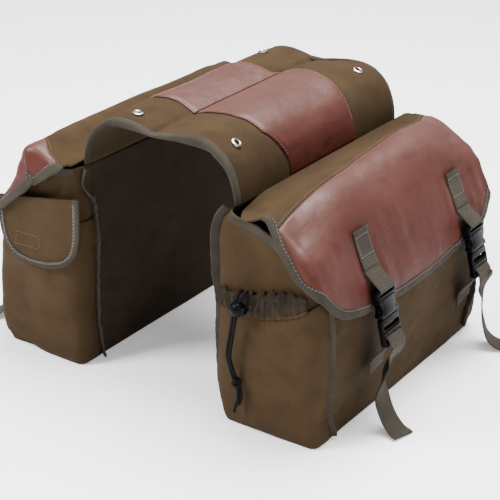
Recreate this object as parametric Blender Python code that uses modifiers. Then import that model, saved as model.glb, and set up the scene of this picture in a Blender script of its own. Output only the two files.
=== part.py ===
"""Saddle bag: two soft box bags joined by a padded bridge. Metres, +Z up.

The origin is on the floor, midway between the bags. The right bag is on the +X side, and the
left bag is the same bag turned half a turn about Z. Each bag has a drawcord pocket on one end
and a pocket with a flap on the other.
"""

import math

import bmesh
import bpy
from mathutils import Matrix, Vector

# Sheets and clearances
CLOTH = 0.003
LID_CLOTH = 0.0024
GAP = 0.0003

# One bag
BACK_X = 0.109
FRONT_X = 0.2365
HALF_LENGTH = 0.208
BODY_TOP_Z = 0.225
END_PANEL_Y = 0.195
CREASE_Z = 0.268
HALF_BRIDGE = 0.182

# Middle of the front panel's cloth, from the floor up: it bulges under the lid
FRONT_PROFILE = [
    (0.2350, 0.0), (0.2420, 0.050), (0.2465, 0.100), (0.2470, 0.140), (0.2440, 0.170),
    (0.2370, 0.198), (0.2270, 0.220),
]

# Lid, hinged in the crease beside the bridge
HINGE = Vector((0.115, 0.0, 0.272))
LID_HALF_LENGTH = 0.212
LID_CORNER = 0.042
LID_SEAM_X = 0.187
LID_PROFILE = [
    (0.1155, 0.2722), (0.130, 0.2748), (0.152, 0.2810), (0.172, 0.2830), (0.188, 0.2785),
    (0.204, 0.2655), (0.219, 0.2470), (0.232, 0.2230), (0.243, 0.1970), (0.251, 0.1720),
    (0.254, 0.1450),
]

# Bridge, seen from the near end
BRIDGE_TOP = [
    (0.1120, 0.2683), (0.1112, 0.283), (0.1075, 0.300), (0.1005, 0.316), (0.088, 0.330),
    (0.068, 0.3395), (0.045, 0.3410), (0.018, 0.3365), (-0.010, 0.3310), (-0.034, 0.3370),
    (-0.055, 0.3405), (-0.074, 0.3380), (-0.090, 0.3290), (-0.1010, 0.315), (-0.1080, 0.299),
    (-0.1112, 0.283), (-0.1120, 0.2683),
]
BRIDGE_UNDER = [
    (-0.1090, 0.2683), (-0.1060, 0.288), (-0.0960, 0.307), (-0.0780, 0.3205), (-0.060, 0.3255),
    (0.060, 0.3255), (0.0780, 0.3205), (0.0960, 0.307), (0.1060, 0.288), (0.1090, 0.2683),
]
PATCH_NEAR_Y = -0.075
PATCH_FAR_Y = 0.105
EYELETS = [(0.088, -0.148), (0.073, 0.146), (-0.048, -0.156), (-0.062, 0.132)]

# Pockets on the ends
POCKET_TOP_Z = 0.150
COLLAR_TOP_Z = 0.188
FLAP_POCKET_TOP_Z = 0.190
FLAP_HINGE = Vector((0.172, 0.211, 0.222))
FLAP_DROP = 0.092
FLAP_HALF_WIDTH = 0.058
FLAP_CORNER = 0.030

# Straps and side-release buckles
STRAP_WIDTH = 0.032
STRAP = 0.0016
STRAP_TOP_Z = 0.240
STRAP_Y = {"1": -0.097, "2": 0.130}
BUCKLE_X = 0.2665
BUCKLE_Z = 0.1440
BUCKLE_TILT = math.radians(15)
BUCKLE_WIDTH = 0.039
FEMALE_THICK = 0.011
FEMALE_LENGTH = 0.034
MALE_THICK = 0.0085
MALE_LENGTH = 0.0355
PRONG_THICK = 0.0044

# Lower strap: up from its seam, round the foot of the buckle, and down as a loose tail.
# Each point is X, how much of the sideways drift it has, and Z.
TAIL_DRIFT = {"1": -0.016, "2": 0.030}
TAIL = [
    (0.2472, 0.0, 0.056), (0.2510, 0.0, 0.074), (0.2610, 0.0, 0.092), (0.2720, 0.0, 0.1040),
    (0.2790, 0.0, 0.1060), (0.2810, 0.2, 0.1000), (0.2775, 0.6, 0.0840), (0.2730, 1.0, 0.0660),
    (0.2720, 1.0, 0.0480), (0.2760, 0.8, 0.0300), (0.2850, 0.7, 0.0130), (0.2960, 0.9, 0.0040),
    (0.3080, 1.1, 0.0018),
]

# Cord and ball lock
CORD = 0.004
LOCK_CENTRE = Vector((0.1425, -0.2240, 0.1660))
LOCK_RADIUS = 0.0092
LOCK_SLIDE = Vector((0.16, 0.0, 1.0)).normalized()
BUTTON_RADIUS = 0.0040
BUTTON_LENGTH = 0.0056
DRAWCORD = [
    (0.1462, -0.2139, 0.1855), (0.1459, -0.2192, 0.1850), (0.1452, -0.2228, 0.1815),
    (0.1441, -0.2240, 0.1760), (0.1425, -0.2240, 0.1660), (0.1401, -0.2240, 0.1510),
    (0.1377, -0.2240, 0.1360), (0.1353, -0.2240, 0.1210), (0.1336, -0.2240, 0.1100),
    (0.1330, -0.2236, 0.0960), (0.1352, -0.2218, 0.0820), (0.1400, -0.2200, 0.0690),
    (0.1435, -0.2190, 0.0580), (0.1432, -0.2184, 0.0460), (0.1400, -0.2180, 0.0360),
    (0.1375, -0.2178, 0.0270),
]

EDGE_TAPE = 0.0022
LID_TAPE = 0.0018

CANVAS = (0.19, 0.115, 0.062)
LEATHER = (0.22, 0.065, 0.042)
TAPE = (0.22, 0.19, 0.15)
PLASTIC = (0.012, 0.012, 0.014)
NICKEL = (0.62, 0.61, 0.60)
CORD_BLACK = (0.010, 0.010, 0.011)


# ---------------------------------------------------------------- helpers

def clear_scene():
    for old in list(bpy.data.objects):
        bpy.data.objects.remove(old, do_unlink=True)


def collection(name):
    made = bpy.data.collections.new(name)
    bpy.context.scene.collection.children.link(made)
    return made


def material(name, colour, roughness, metallic=0.0):
    made = bpy.data.materials.new(name)
    made.use_nodes = True
    shader = made.node_tree.nodes["Principled BSDF"]
    shader.inputs["Base Color"].default_value = (*colour, 1.0)
    shader.inputs["Roughness"].default_value = roughness
    shader.inputs["Metallic"].default_value = metallic
    return made


def finish_part(part, side, look, origin=(0.0, 0.0, 0.0)):
    """Give a part its material, put its origin at a point, and hang it on its side's empty."""
    colour, roughness, metallic = look
    part.data.materials.append(material(part.name, colour, roughness, metallic))
    part.data.transform(Matrix.Translation(-Vector(origin)))
    part.location = origin
    part.parent = side
    parts.objects.link(part)
    return part


def mesh_object(name, form):
    """A mesh object from a bmesh, which it frees."""
    bmesh.ops.recalc_face_normals(form, faces=form.faces)
    mesh = bpy.data.meshes.new(name)
    form.to_mesh(mesh)
    form.free()
    return bpy.data.objects.new(name, mesh)


def block(name, low, high, bevel=0.0):
    """A box between two corners, with rounded edges."""
    low, high = Vector(low), Vector(high)
    form = bmesh.new()
    bmesh.ops.create_cube(form, size=1.0)
    bmesh.ops.scale(form, vec=high - low, verts=form.verts)
    bmesh.ops.translate(form, vec=(low + high) / 2, verts=form.verts)
    made = mesh_object(name, form)
    if bevel:
        round_edges(made, bevel)
    return made


def round_edges(part, width, segments=2):
    rounding = part.modifiers.new("rounded edges", "BEVEL")
    rounding.width = width
    rounding.segments = segments
    rounding.limit_method = "ANGLE"
    rounding.angle_limit = math.radians(40)


def sheet(name, place, across, along, thickness):
    """A grid whose corners go where place(u, v) says, u and v from 0 to 1, made solid."""
    form = bmesh.new()
    bmesh.ops.create_grid(form, x_segments=across, y_segments=along, size=0.5)
    for vertex in form.verts:
        vertex.co = place(vertex.co.x + 0.5, vertex.co.y + 0.5)
    made = mesh_object(name, form)
    solid = made.modifiers.new("thickness", "SOLIDIFY")
    solid.thickness = thickness
    solid.offset = 0.0
    solid.use_even_offset = True
    return made


def outline_plate(name, outline, thickness, turn):
    """A flat closed outline, extruded to its thickness, with its plane turned by a matrix."""
    curve = bpy.data.curves.new(name, "CURVE")
    curve.dimensions = "2D"
    curve.fill_mode = "BOTH"
    curve.extrude = thickness / 2
    spline = curve.splines.new("POLY")
    spline.points.add(len(outline) - 1)
    for point, (x, y) in zip(spline.points, outline):
        point.co = (x, y, 0.0, 1.0)
    spline.use_cyclic_u = True
    return solid_from_curve(name, curve, turn)


def solid_from_curve(name, curve, turn=Matrix.Identity(4)):
    """A curve's evaluated shape as a mesh, with its caps joined to its sides."""
    shape = bpy.data.objects.new(name + "_curve", curve)
    bpy.context.scene.collection.objects.link(shape)
    bpy.context.view_layer.update()
    seen = shape.evaluated_get(bpy.context.evaluated_depsgraph_get())
    mesh = bpy.data.meshes.new_from_object(seen)
    bpy.data.objects.remove(shape, do_unlink=True)
    form = bmesh.new()
    form.from_mesh(mesh)
    bmesh.ops.remove_doubles(form, verts=form.verts, dist=0.00005)
    bmesh.ops.transform(form, matrix=turn, verts=form.verts)
    return mesh_object(name, form)


def tube(name, points, radius):
    """A round tube with flat ends along a line of points."""
    curve = bpy.data.curves.new(name, "CURVE")
    curve.dimensions = "3D"
    curve.bevel_depth = radius
    curve.bevel_resolution = 2
    curve.use_fill_caps = True
    spline = curve.splines.new("POLY")
    spline.points.add(len(points) - 1)
    for target, point in zip(spline.points, points):
        target.co = (*point, 1.0)
    return bpy.data.objects.new(name, curve)


def smooth_line(points, count):
    """Points at equal spacing along a smooth curve through the given points."""
    ring = [Vector(p) for p in points]
    ring = [2 * ring[0] - ring[1]] + ring + [2 * ring[-1] - ring[-2]]
    dense = []
    for i in range(1, len(ring) - 2):
        before, start, end, after = ring[i - 1:i + 3]
        for step in range(12):
            t = step / 12
            dense.append(0.5 * (
                2 * start + (end - before) * t
                + (2 * before - 5 * start + 4 * end - after) * t ** 2
                + (3 * start - before - 3 * end + after) * t ** 3))
    dense.append(ring[-2])
    lengths = [0.0]
    for a, b in zip(dense, dense[1:]):
        lengths.append(lengths[-1] + (b - a).length)
    return [along_line(dense, lengths, lengths[-1] * k / (count - 1)) for k in range(count)]


def along_line(dense, lengths, distance):
    for i in range(1, len(dense)):
        if lengths[i] >= distance or i == len(dense) - 1:
            share = (distance - lengths[i - 1]) / (lengths[i] - lengths[i - 1])
            return dense[i - 1].lerp(dense[i], min(max(share, 0.0), 1.0))


def cut(part, cutter):
    """Take a cutter out of a part with an exact boolean."""
    cutters.objects.link(cutter)
    cutter.hide_render = True
    cutter.display_type = "WIRE"
    taking = part.modifiers.new("cut", "BOOLEAN")
    taking.operation = "DIFFERENCE"
    taking.solver = "EXACT"
    taking.object = cutter


UPRIGHT = Matrix.Rotation(math.radians(90), 4, "X")


# ---------------------------------------------------------------- lid surface

LID_LINE = smooth_line([(x, 0.0, z) for x, z in LID_PROFILE], 61)
LID_LENGTH = sum((b - a).length for a, b in zip(LID_LINE, LID_LINE[1:]))


def lid_point(share, y, lift=0.0):
    """A point on the lid: share of the way from the crease to the lower edge, lifted outward."""
    place = min(max(share, 0.0), 1.0) * (len(LID_LINE) - 1)
    i = min(int(place), len(LID_LINE) - 2)
    here = LID_LINE[i].lerp(LID_LINE[i + 1], place - i)
    heading = (LID_LINE[min(i + 2, 60)] - LID_LINE[max(i - 1, 0)]).normalized()
    outward = Vector((-heading.z, 0.0, heading.x))
    return here + outward * lift + Vector((0.0, y, 0.0))


def lid_at(distance, y):
    """A point at a distance from the crease, going straight on below the lid's lower edge."""
    past = max(distance - LID_LENGTH, 0.0)
    heading = (LID_LINE[-1] - LID_LINE[-2]).normalized()
    return lid_point(distance / LID_LENGTH, y) + heading * past


def lid_share(test):
    """The first share of the lid line where a test of the point is true."""
    return next(k / 1000 for k in range(1001) if test(lid_point(k / 1000, 0.0)))


def lid_half_width(share):
    """Half the lid's length along the bag, less where its lower corners are rounded."""
    below = (1.0 - share) * LID_LENGTH
    if below >= LID_CORNER:
        return LID_HALF_LENGTH
    rise = LID_CORNER - below
    return LID_HALF_LENGTH - LID_CORNER + math.sqrt(max(LID_CORNER ** 2 - rise ** 2, 0.0))


# ---------------------------------------------------------------- pieces of one bag

FRONT_LINE = smooth_line([(x, 0.0, z) for x, z in FRONT_PROFILE], 25)


def front_point(share):
    point = FRONT_LINE[round(share * 24)]
    return point.x, point.z


def front_x(z):
    """Where the middle of the front panel's cloth is at a height."""
    for below, above in zip(FRONT_LINE, FRONT_LINE[1:]):
        if z <= above.z:
            return below.x + (above.x - below.x) * (z - below.z) / (above.z - below.z)


def front_edge(low, high):
    """An end wall's outer edge from one height to another, just inside the front panel."""
    inset = CLOTH / 2 + 2 * GAP
    heights = [low + (high - low) * step / 12 for step in range(13)]
    return [(front_x(z) - inset, z) for z in heights]


def bag_panels(side, name):
    look = (CANVAS, 0.9, 0.0)
    inner = BACK_X + CLOTH + GAP
    outer = FRONT_X - CLOTH - GAP
    wall = CLOTH / 2

    back = [(-HALF_LENGTH, 0.0), (HALF_LENGTH, 0.0), (HALF_LENGTH, BODY_TOP_Z),
            (HALF_BRIDGE, CREASE_Z), (-HALF_BRIDGE, CREASE_Z), (-HALF_LENGTH, BODY_TOP_Z)]
    facing = Matrix.Translation((BACK_X + wall, 0, 0)) @ Matrix.Rotation(math.pi / 2, 4, "Z")
    finish_part(outline_plate(name + "_back_panel", back, CLOTH, facing @ UPRIGHT), side, look)

    def front_place(u, v):
        x, z = front_point(u)
        return Vector((x, (2 * v - 1) * HALF_LENGTH, z))

    front = sheet(name + "_front_panel", front_place, 24, 2, CLOTH)
    finish_part(front, side, look)
    floor = block(name + "_bottom_panel", (inner, -HALF_LENGTH + CLOTH + GAP, 0.0),
                  (outer, HALF_LENGTH - CLOTH - GAP, CLOTH))
    finish_part(floor, side, look)

    end = [(inner, 0.266), (inner, CLOTH + GAP)] + front_edge(CLOTH + GAP, 0.200)
    end += [(0.205, 0.236), (0.170, 0.258)]
    for place, label in ((-END_PANEL_Y, "_end_panel_cord"), (END_PANEL_Y, "_end_panel_flap")):
        turn = Matrix.Translation((0, place, 0)) @ UPRIGHT
        finish_part(outline_plate(name + label, end, CLOTH, turn), side, look)


def cord_pocket(side, name):
    look = (CANVAS, 0.9, 0.0)
    inner = BACK_X + CLOTH + GAP
    outer = FRONT_X - CLOTH - GAP
    outline = [(inner, POCKET_TOP_Z), (inner, 0.0)] + front_edge(0.0, POCKET_TOP_Z)
    turn = Matrix.Translation((0, -HALF_LENGTH + CLOTH / 2, 0)) @ UPRIGHT
    finish_part(outline_plate(name + "_cord_pocket", outline, CLOTH, turn), side, look)
    collar = block(name + "_cord_pocket_collar", (inner + 0.0015, -0.2135, POCKET_TOP_Z + GAP),
                   (outer, -0.2050, COLLAR_TOP_Z), 0.003)
    finish_part(collar, side, (TAPE, 0.85, 0.0))


def drawcord(side, name):
    cord = tube(name + "_drawcord", smooth_line(DRAWCORD, 31), CORD / 2)
    finish_part(cord, side, (CORD_BLACK, 0.6, 0.0))

    centre = LOCK_CENTRE
    form = bmesh.new()
    bmesh.ops.create_uvsphere(form, u_segments=24, v_segments=14, radius=LOCK_RADIUS)
    bmesh.ops.translate(form, vec=centre, verts=form.verts)
    ball = mesh_object(name + "_cord_lock_body", form)
    cut(ball, rod(name + "_cord_hole", centre, LOCK_SLIDE, CORD / 2 + 0.0006, 0.024))
    button_start = 0.0034
    pocket = centre + Vector((button_start + 0.005, 0, 0))
    cut(ball, rod(name + "_button_hole", pocket, (1, 0, 0), BUTTON_RADIUS + 0.0004, 0.01))
    finish_part(ball, side, (PLASTIC, 0.25, 0.0), centre)

    rest = centre + Vector((button_start + 0.0022 + BUTTON_LENGTH / 2, 0, 0))
    button = rod(name + "_cord_lock_button", rest, (1, 0, 0), BUTTON_RADIUS, BUTTON_LENGTH)
    round_edges(button, 0.0006)
    finish_part(button, side, (PLASTIC, 0.3, 0.0), rest)
    for cutter in cutters.objects:
        if not cutter.parent:
            cutter.parent = side


def rod(name, centre, axis, radius, length):
    """A round bar about an axis through its middle."""
    form = bmesh.new()
    bmesh.ops.create_cone(form, cap_ends=True, segments=20, radius1=radius, radius2=radius,
                          depth=length)
    turn = Vector((0, 0, 1)).rotation_difference(Vector(axis)).to_matrix().to_4x4()
    bmesh.ops.transform(form, matrix=Matrix.Translation(centre) @ turn, verts=form.verts)
    return mesh_object(name, form)


def flap_pocket(side, name):
    look = (CANVAS, 0.9, 0.0)
    inner = BACK_X + CLOTH + GAP
    outline = [(inner, FLAP_POCKET_TOP_Z), (inner, 0.0)] + front_edge(0.0, FLAP_POCKET_TOP_Z)
    turn = Matrix.Translation((0, HALF_LENGTH - CLOTH / 2, 0)) @ UPRIGHT
    finish_part(outline_plate(name + "_flap_pocket", outline, CLOTH, turn), side, look)

    steps = 6
    corner_x = FLAP_HALF_WIDTH - FLAP_CORNER
    outline = [(-FLAP_HALF_WIDTH, 0.0)]
    for turn, centre_x in ((180, -corner_x), (270, corner_x)):
        for step in range(steps + 1):
            angle = math.radians(turn + 90 * step / steps)
            outline.append((centre_x + FLAP_CORNER * math.cos(angle),
                            -FLAP_DROP + FLAP_CORNER + FLAP_CORNER * math.sin(angle)))
    outline.append((FLAP_HALF_WIDTH, 0.0))
    flap = outline_plate(name + "_pocket_lid", outline, CLOTH,
                         Matrix.Translation(FLAP_HINGE) @ UPRIGHT)
    finish_part(flap, side, look, FLAP_HINGE)


def lid(side, name):
    seam = lid_share(lambda point: point.x > LID_SEAM_X)
    apart = GAP / LID_LENGTH

    def canvas_place(u, v):
        share = u * (seam - apart)
        return lid_point(share, (2 * v - 1) * lid_half_width(share))

    def leather_place(u, v):
        share = seam + u * (1.0 - seam)
        return lid_point(share, (2 * v - 1) * lid_half_width(share))

    canvas = sheet(name + "_lid_canvas", canvas_place, 12, 2, LID_CLOTH)
    finish_part(canvas, side, (CANVAS, 0.9, 0.0), HINGE)
    leather = sheet(name + "_lid_leather", leather_place, 40, 2, LID_CLOTH)
    finish_part(leather, side, (LEATHER, 0.45, 0.0), HINGE)

    away = 2 * GAP + LID_TAPE
    side_length = LID_LENGTH - LID_CORNER
    reach = LID_CORNER + away
    middle = LID_HALF_LENGTH - LID_CORNER
    half_path = [(side_length * k / 36, LID_HALF_LENGTH + away) for k in range(1, 37)]
    for step in range(1, 9):
        angle = math.radians(90 * step / 8)
        half_path.append((side_length + reach * math.sin(angle), middle + reach * math.cos(angle)))
    near_path = [lid_at(distance, -y) for distance, y in half_path]
    far_path = [lid_at(distance, y) for distance, y in reversed(half_path)]
    path = near_path + far_path
    binding = tube(name + "_lid_binding", path, LID_TAPE)
    finish_part(binding, side, (TAPE, 0.85, 0.0), HINGE)


def strap_and_buckle(side, name, number):
    y = STRAP_Y[number]
    lift = LID_CLOTH / 2 + GAP + STRAP / 2
    top = lid_share(lambda point: point.x > 0.2 and point.z < STRAP_TOP_Z)
    foot = lid_share(lambda point: point.x > 0.2 and point.z < BUCKLE_Z + FEMALE_LENGTH + 0.003)

    def upper_place(u, v):
        return lid_point(top + u * (foot - top), y + (v - 0.5) * STRAP_WIDTH, lift)

    upper = sheet(f"{name}_strap_upper_{number}", upper_place, 14, 2, STRAP)
    finish_part(upper, side, (TAPE, 0.85, 0.0), HINGE)

    centre = Vector((BUCKLE_X, y, BUCKLE_Z))
    place = Matrix.Translation(centre) @ Matrix.Rotation(-BUCKLE_TILT, 4, "Y")
    female_buckle(side, f"{name}_buckle_female_{number}", place)
    male_buckle(side, f"{name}_buckle_male_{number}", place)
    buckle_prongs(side, f"{name}_buckle_prongs_{number}", place)

    drift = TAIL_DRIFT[number]
    tail_line = smooth_line([(x, y + drift * share, z) for x, share, z in TAIL], 49)

    def lower_place(u, v):
        point = tail_line[round(u * 48)]
        return point + Vector((0.0, (v - 0.5) * STRAP_WIDTH, 0.0))

    lower = sheet(f"{name}_strap_lower_{number}", lower_place, 48, 2, STRAP)
    finish_part(lower, side, (TAPE, 0.85, 0.0))


def female_buckle(side, name, place):
    wide, thick = BUCKLE_WIDTH / 2, FEMALE_THICK / 2
    shell = block(name, (-thick, -wide, 0.0), (thick, wide, FEMALE_LENGTH))
    cavity = block(name + "_cavity", (-0.0031, -0.0150, -0.01), (0.0031, 0.0150, 0.0245))
    windows = block(name + "_windows", (-0.0027, -0.03, 0.0060), (0.0027, 0.03, 0.0180))
    slot = block(name + "_slot", (-0.02, -0.0168, 0.0272), (0.02, 0.0168, 0.0312))
    for cutter in (cavity, windows, slot):
        cutter.data.transform(place)
        cut(shell, cutter)
        cutter.parent = side
    shell.data.transform(place)
    round_edges(shell, 0.0006, 1)
    finish_part(shell, side, (PLASTIC, 0.25, 0.0), HINGE)


def male_buckle(side, name, place):
    wide, thick = BUCKLE_WIDTH / 2, MALE_THICK / 2
    frame = block(name, (-thick, -wide, -MALE_LENGTH), (thick, wide, -GAP))
    for top in (-0.010, -0.022):
        slot = block(f"{name}_slot{int(-top * 1000)}", (-0.02, -0.0168, top - 0.0045),
                     (0.02, 0.0168, top))
        slot.data.transform(place)
        cut(frame, slot)
        slot.parent = side
    frame.data.transform(place)
    round_edges(frame, 0.0006, 1)
    finish_part(frame, side, (PLASTIC, 0.25, 0.0), place.translation)


def buckle_prongs(side, name, place):
    """Two hooked arms and a middle guide on one bar, inside the female half."""
    half = [(0.0145, 0.0), (0.0145, 0.0060), (0.0172, 0.0080), (0.0172, 0.0100),
            (0.0138, 0.0195), (0.0108, 0.0195), (0.0105, 0.0035), (0.0026, 0.0035),
            (0.0026, 0.0170)]
    outline = half + [(-x, z) for x, z in reversed(half)]
    turn = place @ Matrix.Rotation(math.pi / 2, 4, "Z") @ UPRIGHT
    prongs = outline_plate(name, outline, PRONG_THICK, turn)
    finish_part(prongs, side, (PLASTIC, 0.25, 0.0), place.translation)


def make_bag(side, name):
    bag_panels(side, name)
    cord_pocket(side, name)
    drawcord(side, name)
    flap_pocket(side, name)
    lid(side, name)
    for number in STRAP_Y:
        strap_and_buckle(side, name, number)


# ---------------------------------------------------------------- bridge

BRIDGE_LINE = smooth_line([(x, 0.0, z) for x, z in BRIDGE_TOP], 65)


def bridge_normal(i):
    heading = (BRIDGE_LINE[min(i + 1, 64)] - BRIDGE_LINE[max(i - 1, 0)]).normalized()
    return Vector((heading.z, 0.0, -heading.x))


def bridge(side):
    outline = [(p.x, p.z) for p in BRIDGE_LINE] + BRIDGE_UNDER
    pad = outline_plate("bridge_pad", outline, 2 * HALF_BRIDGE, UPRIGHT)
    finish_part(pad, side, (CANVAS, 0.9, 0.0))

    lift = 2 * GAP + LID_CLOTH / 4
    first, last = 5, 59

    def patch_place(u, v):
        i = first + round(u * (last - first))
        slant = 0.045 * abs(BRIDGE_LINE[i].x / BACK_X) ** 4 if BRIDGE_LINE[i].x > 0 else 0.0
        y = PATCH_NEAR_Y + v * (PATCH_FAR_Y - slant - PATCH_NEAR_Y)
        return BRIDGE_LINE[i] + bridge_normal(i) * lift + Vector((0.0, y, 0.0))

    patch = sheet("bridge_leather_patch", patch_place, last - first, 2, LID_CLOTH / 2)
    finish_part(patch, side, (LEATHER, 0.45, 0.0))

    for number, (x, y) in enumerate(EYELETS, 1):
        eyelet(side, f"eyelet_{number}", x, y)
    for sign, label in ((-1, "near"), (1, "far")):
        edge_binding(side, f"edge_binding_{label}", sign)


def eyelet(side, name, x, y):
    """A rolled ring lying on the bridge."""
    i = min(range(len(BRIDGE_LINE)), key=lambda k: abs(BRIDGE_LINE[k].x - x))
    profile = [(0.0036, 0.0), (0.0066, 0.0), (0.0063, 0.0009), (0.0046, 0.0015), (0.0036, 0.0009)]
    form = bmesh.new()
    corners = [form.verts.new((r, 0.0, h)) for r, h in profile]
    edges = [form.edges.new((a, b)) for a, b in zip(corners, corners[1:] + corners[:1])]
    bmesh.ops.spin(form, geom=corners + edges, angle=2 * math.pi, steps=24,
                   axis=(0, 0, 1), cent=(0, 0, 0))
    bmesh.ops.remove_doubles(form, verts=form.verts, dist=0.00001)
    made = mesh_object(name, form)
    normal = bridge_normal(i)
    place = BRIDGE_LINE[i] + normal * 2 * GAP + Vector((0.0, y, 0.0))
    finish_part(made, side, (NICKEL, 0.3, 1.0))
    made.location = place
    made.rotation_euler = Vector((0, 0, 1)).rotation_difference(normal).to_euler()


def edge_binding(side, name, sign):
    """Tape along one edge of the bridge, and down the back panels to the floor."""
    out = sign * (HALF_LENGTH + 3 * GAP + EDGE_TAPE)
    over = sign * (HALF_BRIDGE + 3 * GAP + EDGE_TAPE)
    x = BACK_X + CLOTH / 4
    arch = [Vector((p.x * 0.987, over, p.z - EDGE_TAPE - 0.0002)) for p in BRIDGE_LINE[2:-2:2]]
    rise = [Vector((x, out, 0.003)), Vector((x, out, 0.12)), Vector((x, out, BODY_TOP_Z))]
    fall = [Vector((-p.x, p.y, p.z)) for p in reversed(rise)]
    finish_part(tube(name, rise + arch + fall, EDGE_TAPE), side, (TAPE, 0.85, 0.0))


# ---------------------------------------------------------------- build

clear_scene()
parts = collection("saddle_bag")
cutters = collection("cutters")

right_side = bpy.data.objects.new("right_side", None)
left_side = bpy.data.objects.new("left_side", None)
left_side.rotation_euler = (0.0, 0.0, math.pi)
for empty in (right_side, left_side):
    parts.objects.link(empty)

make_bag(right_side, "right")
make_bag(left_side, "left")
bridge(right_side)
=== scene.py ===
"""A double saddle bag in brown canvas and reddish brown leather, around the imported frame.

Metres, +Z up, origin on the floor between the bags. One bag is described in "bag coordinates",
which are those of the right bag. The left bag is that bag turned half a turn about Z, so its
points are (-x, -y, z). The cord end of a bag is at negative y and its flap end at positive y.
"""

import math

import bmesh
import bpy
import numpy as np
from mathutils import Matrix, Vector


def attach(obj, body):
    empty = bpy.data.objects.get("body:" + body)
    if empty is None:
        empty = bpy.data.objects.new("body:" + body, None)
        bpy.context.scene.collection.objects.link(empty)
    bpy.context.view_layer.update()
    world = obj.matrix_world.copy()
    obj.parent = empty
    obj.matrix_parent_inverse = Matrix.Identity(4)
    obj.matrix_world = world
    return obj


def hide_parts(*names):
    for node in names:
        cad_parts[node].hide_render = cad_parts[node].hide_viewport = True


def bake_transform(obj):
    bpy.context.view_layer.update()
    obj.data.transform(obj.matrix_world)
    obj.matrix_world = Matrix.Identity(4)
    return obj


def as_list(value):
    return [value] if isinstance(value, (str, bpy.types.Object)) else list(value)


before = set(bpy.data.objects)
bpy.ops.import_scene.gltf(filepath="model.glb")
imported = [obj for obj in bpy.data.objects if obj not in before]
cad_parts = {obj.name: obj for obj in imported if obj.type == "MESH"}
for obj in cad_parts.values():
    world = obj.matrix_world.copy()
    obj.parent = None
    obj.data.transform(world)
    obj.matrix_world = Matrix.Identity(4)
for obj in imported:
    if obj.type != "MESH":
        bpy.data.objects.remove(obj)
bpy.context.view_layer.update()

SIDES = {"right": 1.0, "left": -1.0}


# ---------------------------------------------------------------- camera, lights, floor

VIEW_DEGREES = (33.815, 24.686, 0.925)  # azimuth, elevation and roll
VIEW_FROM = (1.02426, -1.51604, 0.95873)
LENS_MM, SENSOR_MM = 111.49, 36.0


def make_camera():
    """A three-quarter view of the bags' near ends."""
    azimuth, elevation, roll = (math.radians(a) for a in VIEW_DEGREES)
    forward = Vector((-math.sin(azimuth) * math.cos(elevation),
                      math.cos(azimuth) * math.cos(elevation), -math.sin(elevation)))
    right = forward.cross(Vector((0, 0, 1))).normalized()
    up = right.cross(forward)
    rolled = math.cos(roll) * right + math.sin(roll) * up
    data = bpy.data.cameras.new("camera")
    data.lens = LENS_MM
    data.sensor_width = SENSOR_MM
    data.clip_start = 0.01
    camera = bpy.data.objects.new("camera", data)
    turn = Matrix((rolled, rolled.cross(forward), -forward)).transposed().to_4x4()
    camera.matrix_world = Matrix.Translation(VIEW_FROM) @ turn
    bpy.context.scene.collection.objects.link(camera)
    bpy.context.scene.camera = camera


def area_light(name, place, target, size, power):
    data = bpy.data.lights.new(name, "AREA")
    data.shape = "DISK"
    data.size = size
    data.energy = power
    light = bpy.data.objects.new(name, data)
    light.location = place
    aim = Vector(target) - Vector(place)
    light.rotation_euler = aim.to_track_quat("-Z", "Y").to_euler()
    bpy.context.scene.collection.objects.link(light)


def make_studio():
    area_light("key", (-1.3, -1.7, 2.1), (0.0, 0.0, 0.2), 1.0, 150.0)
    area_light("fill", (1.9, -1.0, 1.2), (0.0, 0.0, 0.15), 1.4, 18.0)
    area_light("top", (0.1, 0.6, 2.5), (0.0, 0.0, 0.2), 2.0, 250.0)
    world = bpy.data.worlds.new("studio")
    world.use_nodes = True
    sky = world.node_tree.nodes["Background"].inputs
    sky["Color"].default_value = (1.0, 1.0, 1.0, 1.0)
    sky["Strength"].default_value = 0.45
    bpy.context.scene.world = world


# ---------------------------------------------------------------- numbers shared by the pieces

BACK_X, FRONT_X = 0.1095, 0.2360
HALF_LENGTH = 0.2005
HALF_BRIDGE = 0.182
STRAP_Y = {"1": -0.097, "2": 0.130}
STRAP_WIDTH, STRAP = 0.032, 0.0017
SHEET = 0.0024

FRONT_PROFILE = [
    (0.0, 0.2385), (0.050, 0.2430), (0.100, 0.2465), (0.140, 0.2470), (0.170, 0.2440),
    (0.198, 0.2370), (0.220, 0.2270), (0.270, 0.2150),
]
LID_PROFILE = [
    (0.1155, 0.2722), (0.130, 0.2748), (0.152, 0.2810), (0.172, 0.2830), (0.188, 0.2785),
    (0.204, 0.2655), (0.219, 0.2470), (0.232, 0.2230), (0.243, 0.1970), (0.251, 0.1720),
    (0.254, 0.1450),
]
BRIDGE_TOP = [
    (0.1120, 0.2683), (0.1112, 0.283), (0.1075, 0.300), (0.1005, 0.316), (0.088, 0.330),
    (0.068, 0.3395), (0.045, 0.3410), (0.018, 0.3365), (-0.010, 0.3310), (-0.034, 0.3370),
    (-0.054, 0.3405), (-0.070, 0.3380), (-0.082, 0.3320), (-0.094, 0.3215), (-0.103, 0.3080),
    (-0.109, 0.293), (-0.1118, 0.280), (-0.1120, 0.2683),
]
BRIDGE_UNDER = [
    (0.1090, 0.2683), (0.1060, 0.288), (0.0960, 0.307), (0.0780, 0.3205), (0.060, 0.3255),
    (-0.060, 0.3255), (-0.0780, 0.3205), (-0.0960, 0.307), (-0.1060, 0.288), (-0.1090, 0.2683),
]
EYELETS = {"eyelet_1": (0.088, -0.148), "eyelet_2": (0.073, 0.146),
           "eyelet_3": (-0.048, -0.156), "eyelet_4": (-0.062, 0.132)}

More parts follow.
